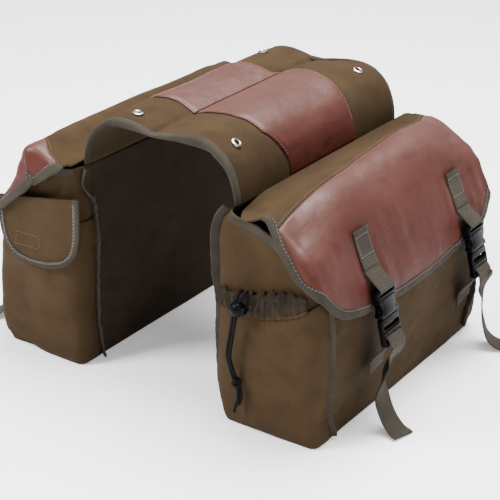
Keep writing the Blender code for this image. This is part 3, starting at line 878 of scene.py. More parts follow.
STITCH_LINE = [(0.090, 0.149), (0.123, 0.148), (0.153, 0.152), (0.177, 0.158), (0.211, 0.169),
               (0.236, 0.183), (0.26, 0.184)]
COLLAR_LINE = [(0.090, 0.181), (0.105, 0.179), (0.126, 0.176), (0.149, 0.181), (0.177, 0.189),
               (0.205, 0.195), (0.219, 0.193), (0.236, 0.189), (0.26, 0.188)]


def cord_pocket(side, sign, wall, seed):
    first, last = around_at(2, y=-0.168), 4 + around_at(0, y=-0.172)
    around = around_list(first, last, 0.0028)
    x = wall(around, np.full(around.shape, 0.12))[:, 0]
    top = np.interp(x, *zip(*STITCH_LINE))
    levels = np.linspace(0, 1, 50)
    z = 0.0016 + (top[:, None] - 0.0016) * levels[None, :]
    a = around[:, None] + 0 * z
    share = np.linspace(0, 1, len(around))[:, None]
    middle = np.sin(np.pi * np.clip((share - 0.12) / 0.76, 0, 1))
    base = shell_base(a, z)
    puff = middle * (0.0040 * np.sin(np.pi * levels) ** 0.7 + 0.0022)[None, :]
    folds = middle * (0.0012 * wander(base, (0.03, 0.03, 0.022), seed + 9)
                      + 0.0005 * wander(base, 0.011, seed + 10))
    near_top = np.exp(-(1 - levels) * 0.15 / 0.018)[None, :]
    pleats = np.sin(share * 2 * np.pi * 26 + 4 * wander(base, 0.05, seed))
    gather = middle * 0.0011 * near_top * pleats
    lift = 0.0016 + puff + folds + gather
    lift = lift * smooth(z, -0.004, 0.012)
    grid = wall_lift(wall, a, z, lift)
    piece = sheet_piece(f"{side}_cord_pocket_cloth", grid, sign, CANVAS, "root")
    thicken(piece, 0.0016, 0.0)
    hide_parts(f"{side}_cord_pocket")
    collar(side, sign, wall, seed, around, middle, lift[:, -1:])


def collar(side, sign, wall, seed, around, middle, seam_lift):
    keep = slice(14, len(around) - 12)
    around, middle, seam_lift = around[keep], middle[keep], seam_lift[keep]
    x = wall(around, np.full(around.shape, 0.15))[:, 0]
    low = np.interp(x, *zip(*STITCH_LINE))[:, None]
    high = np.interp(x, *zip(*COLLAR_LINE))[:, None]
    levels = np.linspace(0, 1, 26)[None, :]
    share = np.linspace(0, 1, len(around))[:, None]
    base = shell_base(around[:, None] + 0 * levels, low + (high - low) * levels)
    phase = 2 * np.pi * 15 * share + 5.5 * wander(base, 0.035, seed + 20)
    fold = 0.0040 * np.sin(phase) * smooth(levels, 0.0, 0.30)
    fold = fold + 0.0016 * np.sin(2.3 * phase + 1.0) * levels
    puff = 0.0055 * np.sin(np.pi * levels ** 0.8)
    sway = 0.0040 * wander(base, (0.026, 0.026, 0.02), seed + 21)
    lift = seam_lift + middle * (puff + fold + sway * levels)
    casing = 0.0022 * bump(levels, 0.86, 0.10)
    uneven = 0.0040 * np.sin(phase * 0.5) * levels
    z = low + (high - low) * levels + uneven * middle * 0.7
    grid = wall_lift(wall, around[:, None] + 0 * z, z, lift + casing)
    piece = sheet_piece(f"{side}_cord_pocket_gather", grid, sign, COLLAR, "root")
    thicken(piece, 0.0020, 0.0)
    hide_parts(f"{side}_cord_pocket_collar")
    line = grid[:, 1]
    edge = line + 0.0010 * unit(line - np.array([0.17, 0.0, 0.15])) * np.array([1, 1, 0])
    ribbon(f"{side}_cord_pocket_seam", turned(edge, sign), [0.0, 0.0, 1.0], 0.0050, 0.0022,
           CANVAS, "root")


def flap_pocket(side, sign, wall, seed):
    first, last = around_at(0, y=0.172), around_at(2, y=0.165)
    around = around_list(first, last, 0.0030)
    levels = np.linspace(0, 1, 56)
    z = 0.0016 + (0.196 - 0.0016) * levels[None, :] + 0 * around[:, None]
    a = around[:, None] + 0 * z
    share = np.linspace(0, 1, len(around))[:, None]
    middle = np.sin(np.pi * np.clip((share - 0.14) / 0.72, 0, 1))
    base = shell_base(a, z)
    puff = middle * (0.0034 * np.sin(np.pi * levels) ** 0.7 + 0.0016)[None, :]
    folds = middle * (0.0012 * wander(base, (0.034, 0.034, 0.026), seed + 11)
                      + 0.0004 * wander(base, 0.012, seed + 12))
    lift = (0.0016 + puff + folds) * smooth(z, -0.004, 0.012)
    grid = wall_lift(wall, a, z, lift)
    piece = sheet_piece(f"{side}_flap_pocket_cloth", grid, sign, CANVAS, "root")
    thicken(piece, 0.0016, 0.0)
    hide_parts(f"{side}_flap_pocket")


FLAP_Y = 0.2110
FLAP_OUTLINE = [
    (0.1010, 0.2330), (0.1010, 0.2050), (0.1030, 0.1780), (0.1090, 0.1570), (0.1210, 0.1425),
    (0.1390, 0.1350), (0.1600, 0.1318), (0.1820, 0.1318), (0.2020, 0.1365), (0.2170, 0.1480),
    (0.2260, 0.1650), (0.2290, 0.1840), (0.2290, 0.2120),
]


def flap_surface(seed):
    def surface(x, z):
        x, z = np.broadcast_arrays(np.asarray(x, float), np.asarray(z, float))
        place = points(x, FLAP_Y + 0 * x, z)
        curl = 0.0045 * smooth(0.170 - z, 0.0, 0.05)
        droop = -0.0012 * ((x - 0.172) / 0.058) ** 2
        wave = 0.0014 * wander(place, (0.03, 0.05, 0.03), seed)
        wave = wave + 0.0004 * wander(place, 0.012, seed + 1)
        y = FLAP_Y + curl + droop + wave * smooth(0.235 - z, 0.0, 0.03)
        return points(x, y, z)
    return surface


def coons(low, high, left, right, rows, columns):
    """A grid that fills four border lines. low and high run with left's and right's starts."""
    low, high = even_line(low, columns), even_line(high, columns)
    left, right = even_line(left, rows), even_line(right, rows)
    s = np.linspace(0, 1, rows)[:, None, None]
    t = np.linspace(0, 1, columns)[None, :, None]
    across = (1 - s) * low[None] + s * high[None]
    down = (1 - t) * left[:, None] + t * right[:, None]
    corners = ((1 - s) * (1 - t) * low[0] + (1 - s) * t * low[-1]
               + s * (1 - t) * high[0] + s * t * high[-1])
    return across + down - corners


def edge_tape(name, surface, border, inward, width, body, sign, seed):
    """Folded tape over a sheet's border: border is a line of places, inward a unit direction."""
    a, b = border[:, 0], border[:, 1]
    ia, ib = inward[:, 0], inward[:, 1]
    here, half = surface(a, b), SHEET / 2
    waver = 1 + 0.10 * wander(here, 0.03, seed) + 0.05 * wander(here, 0.011, seed + 1)
    thick = 0.0008
    section = [(1.0, half * 0.6), (0.97, half + thick * 0.7), (0.7, half + thick * 1.15),
               (0.35, half + thick * 1.1), (0.06, half + thick), (-0.10, half * 0.8),
               (-0.16, 0.0), (-0.10, -half * 0.8), (0.06, -half - thick),
               (0.35, -half - thick * 1.1), (0.7, -half - thick * 1.15),
               (0.97, -half - thick * 0.7), (1.0, -half * 0.6)]
    rows = []
    for inset, lift in section:
        move = inset * width * waver
        pa, pb = a + ia * move, b + ib * move
        rows.append(surface(pa, pb) + normals_of(surface, pa, pb, *SMALL) * lift)
    grid = np.stack(rows)
    cross = np.cumsum([0.0] + [math.hypot((q[0] - p[0]) * width, q[1] - p[1])
                               for p, q in zip(section, section[1:])])
    mesh = grid_mesh(name, turned(grid, sign), strip_uv(here, cross), closed=True, caps=True)
    fix_normals(mesh)
    return link(name, mesh, TAPE, body)


def inward_of(border):
    """Unit directions square to a border line, on its left side."""
    heading = unit(np.gradient(border, axis=0))
    return np.stack([-heading[:, 1], heading[:, 0]], axis=1)


def row_on(surface, place, lift):
    """Points above a surface at a line of places on it, with its normals."""
    normal = normals_of(surface, place[:, 0], place[:, 1], *SMALL)
    return surface(place[:, 0], place[:, 1]) + normal * lift, normal


ZIGZAG_PITCH = 0.0052


def zigzag(name, surface, border, inward, near, far, lift, look, body, sign):
    """Zigzag stitching inside a border."""
    count = int(line_length(border) / ZIGZAG_PITCH) * 2
    line, way = even_line(border, count), unit(even_line(inward, count))
    inset = np.where(np.arange(count) % 2 == 0, near, far)[:, None]
    at, out = (turned(v, sign) for v in row_on(surface, line + way * inset, lift))
    form = bmesh.new()
    for k in range(count - 1):
        middle, heading = (at[k] + at[k + 1]) / 2, at[k + 1] - at[k]
        long = np.linalg.norm(heading)
        heading = heading / max(long, 1e-9)
        side = np.cross(out[k], heading)
        bead(form, middle, heading * long * 0.5, side * 0.0004, out[k] * 0.0004)
    return threads(name, form, look, body)


def pocket_lid(side, sign, seed):
    surface = flap_surface(seed + 30)
    outline = smooth_line(FLAP_OUTLINE, 97)
    left, bottom, right = outline[:33], outline[32:65], outline[64:]
    top = np.stack([np.linspace(outline[0, 0], outline[-1, 0], 40),
                    np.linspace(outline[0, 1], outline[-1, 1], 40)], axis=1)
    net = coons(top, bottom, left, right[::-1], 40, 44)
    grid = surface(net[..., 0], net[..., 1])
    piece = sheet_piece(f"{side}_pocket_lid_cloth", grid, sign, CANVAS, None)
    thicken(piece, SHEET, 0.0)
    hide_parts(f"{side}_pocket_lid")
    inward = inward_of(outline)
    tape = edge_tape(f"{side}_pocket_lid_tape", surface, outline, inward, 0.0085, None, sign, seed)
    thread_row = zigzag(f"{side}_pocket_lid_zigzag", surface, outline[2:-2], inward[2:-2], 0.0035,
                        0.0078, -(SHEET / 2 + 0.0012), GREY_THREAD, None, sign)
    box = np.array([(0.164, 0.153), (0.201, 0.153), (0.201, 0.169), (0.164, 0.169),
                    (0.164, 0.153)])
    line = np.vstack([np.linspace(p, q, 12, endpoint=False) for p, q in zip(box, box[1:])])
    at = surface(line[:, 0], line[:, 1]) + np.array([0.0, SHEET / 2 + 0.0001, 0.0])
    out = np.broadcast_to([0.0, sign, 0.0], at.shape)
    square = stitches(f"{side}_pocket_lid_square", turned(at, sign), out, BROWN_THREAD, None,
                      pitch=0.0036, length=0.0026, radius=0.00035)
    for item in (piece, tape, thread_row, square):
        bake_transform(item)


# ---------------------------------------------------------------- lids

LID_LINE = smooth_line(LID_PROFILE, 121)
LID_LENGTH = line_length(LID_LINE)
LID_AT = np.linspace(0, LID_LENGTH, 121)
LID_HEADING = unit(np.gradient(LID_LINE, axis=0))
BEND_RADIUS = 0.0090
BEND_MAX = 1.42


class LidShape:
    """How one bag's lid sags, and where it bends down over the bag's ends."""

    def __init__(self, fall, rise, far, pull, flap_bend):
        self.fall, self.rise, self.far, self.pull = fall, rise, far, pull
        self.bend = {-1: 0.1990, 1: flap_bend}


LID_SHAPES = {
    "right": LidShape(fall=0.0150, rise=0.0, far=0.0060, pull=0.0, flap_bend=0.2030),
    "left": LidShape(fall=0.0050, rise=0.0080, far=0.0, pull=0.0225, flap_bend=0.2060),
}


def lid_distance(x=None, z=None):
    """How far down the lid's line it reaches an x, or past the ridge a z."""
    if x is not None:
        return float(np.interp(x, LID_LINE[:, 0], LID_AT))
    start = int(np.argmax(LID_LINE[:, 1]))
    return float(np.interp(-z, -LID_LINE[start:, 1], LID_AT[start:]))


def lid_base(shape, d, eta):
    """The lid: d from the crease to its lower edge, eta along the bag and down over its ends."""
    d, eta = np.broadcast_arrays(np.asarray(d, float), np.asarray(eta, float))
    past = np.maximum(d - LID_LENGTH, 0.0) + np.minimum(d, 0.0)
    hx = np.interp(d, LID_AT, LID_HEADING[:, 0])
    hz = np.interp(d, LID_AT, LID_HEADING[:, 1])
    x = np.interp(d, LID_AT, LID_LINE[:, 0]) + past * hx
    z = np.interp(d, LID_AT, LID_LINE[:, 1]) + past * hz
    far = np.abs(eta)
    end = np.where(eta < 0, shape.bend[-1], shape.bend[1])
    turn = np.clip((far - end) / BEND_RADIUS, 0.0, BEND_MAX)
    rest = np.maximum(far - end - BEND_MAX * BEND_RADIUS, 0.0)
    y = np.minimum(far, end) + BEND_RADIUS * np.sin(turn) + rest * math.cos(BEND_MAX)
    drop = BEND_RADIUS * (1 - np.cos(turn)) + rest * math.sin(BEND_MAX)
    sag = shape.fall * bump(x, 0.194, 0.030) * smooth(far, 0.100, 0.206)
    sag = sag - shape.rise * bump(x, 0.176, 0.030)
    sag = sag + shape.far * bump(x, 0.176, 0.040) * smooth(eta, 0.080, 0.200)
    sag = sag + 0.0110 * smooth(-eta, 0.125, 0.190) * (1 - smooth(x, 0.128, 0.170))
    pull = shape.pull * smooth(eta, 0.110, 0.200) * bump(z, 0.238, 0.046)
    x = x - pull * smooth(x, 0.168, 0.200)
    skew = 0.0020 * np.clip(eta / 0.2, -1, 1) * smooth(d, 0.10, LID_LENGTH)
    return points(x + hz * drop + skew, np.sign(eta) * y, z - hx * drop - sag)


def make_lid(side, seed):
    """One lid with its waves and creases, as a function of d and eta."""
    def base(d, eta):
        return lid_base(LID_SHAPES[side], d, eta)

    def surface(d, eta):
        place = base(d, eta)
        normal = normals_of(base, np.asarray(d, float), np.asarray(eta, float), 0.0008, 0.0008)
        x, y = place[..., 0], place[..., 1]
        d, eta = np.broadcast_arrays(d, eta)
        flat = points(d, eta, 0 * d)
        free = smooth(d, 0.0, 0.03)
        end = smooth(np.abs(y), 0.13, 0.19)
        wave = 0.0022 * wander(flat, (0.075, 0.095, 1.0), seed)
        wave = wave + (0.0008 + 0.0012 * end) * wander(flat, (0.034, 0.030, 1.0), seed + 1)
        wave = wave + (0.0003 + 0.0004 * end) * wander(flat, (0.014, 0.012, 1.0), seed + 2)
        streak = 0.0005 * wander(flat, (0.070, 0.013, 1.0), seed + 3) * smooth(d, 0.08, 0.14)
        tie = sum(bump(y, at, 0.021) for at in STRAP_Y.values())
        crease = sum(0.0010 * bump(y, at + off, 0.006) * smooth(d, 0.12, 0.20)
                     for at in STRAP_Y.values() for off in (-0.027, 0.028))
        held = -0.0016 * tie * smooth(d, 0.10, 0.16)
        near_bridge = 1 - smooth(d, 0.028, 0.060)
        moved = np.clip(wave + streak, -0.0030, 0.0034 - 0.0030 * near_bridge)
        moved = moved - 0.0014 * near_bridge
        moved = free * (moved + held + crease)
        return place + normal * moved[..., None]
    return surface


LID_SEAM = {
    "right": [(-0.216, 0.184), (-0.205, 0.1834), (-0.181, 0.1797), (-0.152, 0.1768),
              (-0.079, 0.1722), (-0.007, 0.1640), (0.085, 0.1560), (0.180, 0.150), (0.224, 0.134)],
    "left": [(-0.216, 0.189), (-0.100, 0.188), (0.080, 0.187), (0.172, 0.1850), (0.200, 0.1510),
             (0.210, 0.1290), (0.224, 0.122)],
}


FLAP_WING = {
    "right": [(0.123, 0.004), (0.140, 0.016), (0.170, 0.031), (0.200, 0.038), (0.220, 0.034),
              (0.232, 0.026), (0.243, 0.008)],
    "left": [(0.1193, -0.0058), (0.123, 0.0053), (0.1327, 0.0177), (0.140, 0.031), (0.152, 0.0442),
             (0.168, 0.0430), (0.194, 0.0370), (0.219, 0.0285), (0.2287, 0.0212),
             (0.2355, 0.0176), (0.2403, 0.0150), (0.2460, 0.0050)],
}


def lid_border(side, end):
    """One side of the lid's border, from the crease to the middle of its lower edge."""
    if end < 0:
        wing = [(0.123, -0.012), (0.131, -0.004), (0.150, 0.001), (0.166, 0.004), (0.177, 0.0100),
                (0.194, 0.0170), (0.211, 0.0212), (0.226, 0.0232), (0.234, 0.0190),
                (0.242, 0.0055)]
    else:
        wing = FLAP_WING[side]
    out = LID_SHAPES[side].bend[end]
    line = [(0.0, out - (0.024 if end < 0 else 0.002))]
    line += [(lid_distance(x=x), out + 0.003 + w) for x, w in wing]
    line += [(LID_LENGTH - 0.030, 0.185), (LID_LENGTH - 0.0145, 0.159),
             (LID_LENGTH - 0.0055, 0.112), (LID_LENGTH - 0.0015, 0.072), (LID_LENGTH, 0.030),
             (LID_LENGTH, 0.0)]
    line = smooth_line(line, 241)
    return line * np.array([1.0, float(end)])


def cut_at(line, test):
    """Split a line at the first place where a test is true."""
    k = next(i for i, point in enumerate(line) if test(point))
    return line[:k + 1], line[k:]


def lid(side, sign, seed):
    body = f"{side}_lid"
    surface = make_lid(side, seed)

    def seam_d(eta):
        x = np.interp(eta, *zip(*LID_SEAM[side]))
        waver = 0.0012 * wander(points(eta, 0 * eta, 0 * eta), 0.06, seed)
        return np.interp(x, LID_LINE[:, 0], LID_AT) + waver

    cord_side, flap_side = lid_border(side, -1), lid_border(side, 1)
    cord_canvas, cord_rest = cut_at(cord_side, lambda p: p[0] > seam_d(p[1]))
    flap_canvas, flap_rest = cut_at(flap_side, lambda p: p[0] > seam_d(p[1]))
    corner = LID_LENGTH - 0.030
    cord_leather, cord_low = cut_at(cord_rest, lambda p: p[0] > corner)
    flap_leather, flap_low = cut_at(flap_rest, lambda p: p[0] > corner)
    crease = np.stack([np.zeros(90), np.linspace(cord_side[0, 1], flap_side[0, 1], 90)], axis=1)
    eta = np.linspace(cord_canvas[-1, 1], flap_canvas[-1, 1], 160)
    seam = np.stack([seam_d(eta), eta], axis=1)
    seam[0], seam[-1] = cord_canvas[-1], flap_canvas[-1]
    lower = np.vstack([cord_low, flap_low[::-1][1:]])

    net = coons(crease, seam, cord_canvas, flap_canvas, 36, 170)
    grid = surface(net[..., 0], net[..., 1])
    canvas = sheet_piece(f"{side}_lid_canvas_cloth", grid, sign, [CANVAS, LINING], body)
    thicken(canvas, SHEET, 0.0, inner=1)
    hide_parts(f"{side}_lid_canvas")

    net = coons(seam, lower, cord_leather, flap_leather, 60, 190)
    grid = surface(net[..., 0], net[..., 1])
    leather = sheet_piece(f"{side}_lid_leather_sheet", grid, sign, [LEATHER, LINING], body)
    thicken(leather, SHEET, 0.0, inner=1)
    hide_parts(f"{side}_lid_leather")

    steps = 420
    border = even_line(np.vstack([cord_side, flap_side[::-1][1:]]), steps)
    inward = inward_of(border)
    if inward[0, 1] < 0:
        inward = -inward
    bare = int(steps * 0.5 * lid_distance(x=0.1745) / line_length(cord_side))
    border, inward = border[bare:-6], inward[bare:-6]
    tape = edge_tape(f"{side}_lid_tape", surface, border, inward, 0.0105, body, sign, seed + 40)
    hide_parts(f"{side}_lid_binding")
    row, out = row_on(surface, border[3:-3] + inward[3:-3] * 0.0088, SHEET / 2 + 0.0012)
    stitches(f"{side}_lid_tape_stitches", turned(row, sign), turned(out, sign), GREY_THREAD, body,
             0.0046, 0.0030, 0.0004)

    inner_seam = seam[4:-4]
    for inset, label in ((0.0030, "a"), (-0.0035, "b")):
        row, out = row_on(surface, inner_seam + np.array([inset, 0.0]), SHEET / 2 + 0.0001)
        look = BROWN_THREAD if inset < 0 else TAN_THREAD
        stitches(f"{side}_lid_seam_stitches_{label}", turned(row, sign), turned(out, sign), look,
                 body, 0.0042, 0.0028, 0.00034)
    return surface


# ---------------------------------------------------------------- straps and buckles

def buckle_place(number, sign):
    """A buckle's own axes: X out of the bag, Y along the bag, Z up the strap."""
    turn = Matrix.Translation((BUCKLE_X, STRAP_Y[number], BUCKLE_Z))
    turn = turn @ Matrix.Rotation(-BUCKLE_TILT, 4, "Y")
    if sign < 0:
        turn = Matrix.Rotation(math.pi, 4, "Z") @ turn
    return turn


FACE_OUT = Matrix(((0, 0, 1, 0), (1, 0, 0, 0), (0, 1, 0, 0), (0, 0, 0, 1)))


def mirrored(half):
    return half + [(-x, y) for x, y in reversed(half)]


def slot_outline(low, high):
    half = 0.0166
    return rounded([(-half, low), (half, low), (half, high), (-half, high)], 0.0012)


def buckle(side, sign, number):
    place = buckle_place(number, sign) @ FACE_OUT
    female, male = f"{side}_lid", f"{side}_buckle_male_{number}"

    half = [(0.0182, 0.0003), (0.0193, 0.0030), (0.0193, 0.0058), (0.0160, 0.0080),
            (0.0155, 0.0120), (0.0160, 0.0160), (0.0186, 0.0190), (0.0178, 0.0230),
            (0.0188, 0.0270), (0.0195, 0.0305), (0.0185, 0.0338)]
    slot = slot_outline(0.0268, 0.0308)
    outline = rounded(mirrored(half), 0.0016)
    shell = outline_solid(f"{side}_buckle_{number}_female", [outline, slot], 0.0108, 0.0013,
                          place, PLASTIC, female)
    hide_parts(f"{side}_buckle_female_{number}")
    face = rounded([(-0.0118, 0.0020), (0.0118, 0.0020), (0.0110, 0.0140), (0.0148, 0.0228),
                    (-0.0148, 0.0228), (-0.0110, 0.0140)], 0.0030)
    outline_solid(f"{side}_buckle_{number}_face", [face], 0.0016, 0.0006,
                  place @ Matrix.Translation((0, 0, 0.0052)), PLASTIC, female)

    half = [(0.0176, -0.0004), (0.0190, -0.0030), (0.0195, -0.0100), (0.0192, -0.0250),
            (0.0195, -0.0320), (0.0180, -0.0352)]
    slots = [slot_outline(top - 0.0046, top) for top in (-0.0095, -0.0215)]
    outline = rounded(mirrored(half), 0.0022)
    ladder = outline_solid(f"{side}_buckle_{number}_male", [outline] + slots, 0.0074, 0.0012,
                           place, PLASTIC, male)
    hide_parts(f"{side}_buckle_male_{number}")
    for z, label in ((-0.0178, "a"), (-0.0305, "b")):
        ends = [place @ Vector((y, z, 0.0026)) for y in np.linspace(-0.0165, 0.0165, 9)]
        round_tube(f"{side}_buckle_{number}_bar_{label}", np.array(ends), 0.0022, PLASTIC, male)

    half = [(0.0150, -0.0010), (0.0150, 0.0050), (0.0192, 0.0078), (0.0196, 0.0100),
            (0.0176, 0.0150), (0.0138, 0.0198), (0.0112, 0.0190), (0.0112, 0.0040),
            (0.0024, 0.0034), (0.0024, 0.0170)]
    prongs = outline_solid(f"{side}_buckle_{number}_prongs", [rounded(mirrored(half), 0.0012)],
                           0.0046, 0.0008, place, PLASTIC, male)
    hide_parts(f"{side}_buckle_prongs_{number}")


def in_buckle(number, x, y, z):
    """A point given in a buckle's own axes, in bag coordinates."""
    point = buckle_place(number, 1.0) @ Vector((x, y, z))
    return np.array(point)


def upper_strap(side, sign, number, surface):
    body = f"{side}_lid"
    y = STRAP_Y[number]
    top = lid_distance(z=0.241)
    foot = lid_distance(z=0.1945)
    d = np.linspace(top, foot, 14)
    lift = SHEET / 2 + 0.0006 + STRAP / 2
    lift = lift + 0.0016 * bump(d, top, 0.006) + 0.0008 * smooth(d, foot - 0.02, foot)
    eta = np.full(d.shape, y)
    out = normals_of(surface, d, eta, *SMALL)
    run = surface(d, eta) + out * lift[:, None]
    run[:, 1] = y
    slot = [in_buckle(number, 0.0066, 0.0, 0.0345), in_buckle(number, 0.0070, 0.0, 0.0322),
            in_buckle(number, 0.0045, 0.0, 0.0293), in_buckle(number, 0.0, 0.0, 0.0288),
            in_buckle(number, -0.0034, 0.0, 0.0296)]
    line = smooth_line(np.vstack([run, slot]), 70)
    strap = ribbon(f"{side}_upper_strap_{number}", turned(line, sign), [0.0, 1.0, 0.0],
                   STRAP_WIDTH, STRAP, WEBBING, body)
    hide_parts(f"{side}_strap_upper_{number}")
    heading = unit(np.gradient(line, axis=0))
    across = np.array([0.0, 1.0, 0.0])
    lifted = np.cross(across, heading)
    lifted = lifted * np.sign(lifted[:, :1])
    for level, label in ((line[5:7].mean(axis=0), "a"), (line[24:26].mean(axis=0), "b")):
        k = int(np.argmin(np.linalg.norm(line - level, axis=1)))
        row = [line[k] + lifted[k] * (STRAP / 2 + 0.0001) + across * w
               for w in np.linspace(-0.013, 0.013, 14)]
        stitches(f"{side}_strap_{number}_bar_{label}", turned(np.array(row), sign),
                 turned(np.broadcast_to(lifted[k], (14, 3)), sign), GREY_THREAD, body,
                 0.0030, 0.0023, 0.0004)
    for w, label in ((-0.0130, "c"), (0.0130, "d")):
        row = line[5:26] + lifted[5:26] * (STRAP / 2 + 0.0001) + across * w
        stitches(f"{side}_strap_{number}_side_{label}", turned(row, sign),
                 turned(lifted[5:26], sign), GREY_THREAD, body, 0.0034, 0.0024, 0.0004)


def lower_strap(side, sign, number):
    y, drift = STRAP_Y[number], TAIL_DRIFT[number]

    def at(x, share, z):
        return np.array([x, y + drift * share, z])

    foot = 0.014 / drift
    line = [at(0.2478, foot, 0.061), at(0.2505, foot * 0.7, 0.074), at(0.2590, foot * 0.2, 0.090)]
    line += [in_buckle(number, x, 0.0, z) for x, z in (
        (-0.0062, -0.0385), (-0.0060, -0.0300), (-0.0020, -0.0238), (0.0032, -0.0236),
        (0.0066, -0.0282), (0.0072, -0.0340), (0.0068, -0.0400))]
    line += [at(0.2805, 0.25, 0.0965), at(0.2750, 0.50, 0.0805), at(0.2715, 0.72, 0.0640),
             at(0.2715, 0.80, 0.0480), at(0.2755, 0.76, 0.0320), at(0.2835, 0.72, 0.0155),
             at(0.2950, 0.85, 0.0055), at(0.3070, 1.05, 0.0026)]
    line = smooth_line(line, 150)
    share = np.linspace(0, 1, 150)
    if number == "1":
        turn = -0.52 * smooth(share, 0.46, 0.54) * (1 - smooth(share, 0.60, 0.76))
    else:
        turn = -0.46 * smooth(share, 0.46, 0.56)
    across = np.stack([np.sin(turn), np.cos(turn), 0 * turn], axis=1)
    heading = unit(np.gradient(line, axis=0))
    across = unit(across - heading * (across * heading).sum(axis=1, keepdims=True))
    low = line[:, 2] - np.abs(unit(across)[:, 2]) * STRAP_WIDTH / 2
    line[:, 2] += np.maximum(0.0014 - low, 0.0)
    strap = ribbon(f"{side}_lower_strap_{number}", turned(line, sign), turned(across, sign),
                   STRAP_WIDTH, STRAP, WEBBING, None)
    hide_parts(f"{side}_strap_lower_{number}")
    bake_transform(strap)
    row = [line[4] + np.array([STRAP / 2 + 0.0002, w, 0.0])
           for w in np.linspace(-0.013, 0.013, 14)]
    stitches(f"{side}_strap_{number}_foot", turned(np.array(row), sign),
             np.broadcast_to([sign, 0.0, 0.0], (14, 3)), GREY_THREAD, "root", 0.0030, 0.0023,
             0.0004)


# ---------------------------------------------------------------- drawcord and ball lock

CORD_RADIUS, CORD_STEPS = 0.0020, 60


def drawcord(side, sign):
    route = smooth_line(DRAWCORD, CORD_STEPS)
    share = np.linspace(0, 1, CORD_STEPS)
    lines = {}
    for offset, label in ((-0.0022, "a"), (0.0022, "b")):
        spread = (0.90 + 0.9 * smooth(0.12 - share, 0.0, 0.12)
                  + 0.35 * np.sin(share * 9) * smooth(share, 0.50, 0.62))
        spin = 1.1 * smooth(share, 0.50, 0.85)
        beside = -0.0020 * smooth(share, 0.06, 0.11) * (1 - smooth(share, 0.52, 0.62))
        lines[label] = route + points(offset * spread * np.cos(spin) + beside,
                                      offset * 0.55 * spread * np.sin(spin), 0 * share)
    knot_at = route[int(CORD_STEPS * 0.735)]
    turns = np.linspace(0, 2 * np.pi, 60)
    loose = 1 + 0.35 * np.cos(3 * turns)
    knot = knot_at + points(0.0036 * np.cos(2 * turns) * loose,
                            0.0030 * np.sin(2 * turns) * loose - 0.0008,
                            0.0042 * np.sin(3 * turns))
    knot_piece = round_tube(f"{side}_drawcord_knot", turned(knot, sign), 0.0021, CORD_BLACK,
                            "root")
    first = None
    for label, line in lines.items():
        placed = turned(line if label == "a" else line[:56], sign)
        piece = round_tube(f"{side}_drawcord_strand_{label}", placed, CORD_RADIUS, CORD_BLACK,
                           "root")
        extras = [knot_piece, f"{side}_cord_lock_body", f"{side}_cord_lock_button"]
        extras = extras if first is None else []
        round(line_length(placed), 4)
        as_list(extras)
        if first is None:
            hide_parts(f"{side}_drawcord")
            first = piece
    for node in (f"{side}_cord_lock_body", f"{side}_cord_lock_button"):
        dress(node, BALL_PLASTIC)


def dress(node, look):
    """Give a CAD node a finished material."""
    shown = bpy.data.objects[node]
    for item in shown.material_slots:
        item.material = look
    if not shown.material_slots:
        shown.data.materials.append(look)


# ---------------------------------------------------------------- bridge

BRIDGE_LINE = smooth_line(BRIDGE_TOP, 161)
BRIDGE_LENGTH = line_length(BRIDGE_LINE)
BRIDGE_AT = np.linspace(0, BRIDGE_LENGTH, 161)
UNDER_LINE = smooth_line(BRIDGE_UNDER, 161)
SEAM_NEAR = [(0.111, -0.070), (0.104, -0.080), (0.089, -0.096), (0.051, -0.100), (0.020, -0.092),
             (-0.004, -0.086), (-0.013, -0.093), (-0.040, -0.089), (-0.062, -0.095),
             (-0.090, -0.086), (-0.104, -0.074), (-0.111, -0.066)]
SEAM_FAR = [(0.111, 0.078), (0.103, 0.077), (0.088, 0.079), (0.052, 0.092), (0.020, 0.110),
            (0.004, 0.114), (-0.010, 0.105), (-0.018, 0.084), (-0.040, 0.082), (-0.055, 0.078),
            (-0.090, 0.074), (-0.111, 0.070)]


def patch_edges(x):
    """The leather patch's near and far edges: their y at an x."""
    return [np.interp(-x, [-p[0] for p in seam], [p[1] for p in seam])
            for seam in (SEAM_NEAR, SEAM_FAR)]


def pad_lines(share):
    """The pad's top and underside, as (x, z) at shares of their length from its right edge."""
    at = np.linspace(0, 1, 161)
    return [np.stack([np.interp(share, at, line[:, k]) for k in range(2)], axis=-1)
            for line in (BRIDGE_LINE, UNDER_LINE)]


def bridge_d(x):
    return np.interp(-np.asarray(x, float), -BRIDGE_LINE[:, 0], BRIDGE_AT)


def pinch(y):
    """How much of its thickness the pad keeps: less near its two ends."""
    t = np.clip((np.abs(y) - 0.152) / (HALF_BRIDGE - 0.152), 0.0, 1.0)
    return 0.10 + 0.90 * np.sqrt(np.maximum(1 - t * t, 0.0))


def bridge_base(d, y):
    d, y = np.broadcast_arrays(np.asarray(d, float), np.asarray(y, float))
    share = np.clip(d / BRIDGE_LENGTH, 0, 1)
    top, low = pad_lines(share)
    middle = (top + low) / 2
    place = middle + (top - middle) * pinch(y)[..., None]
    return points(place[..., 0], y, place[..., 1])


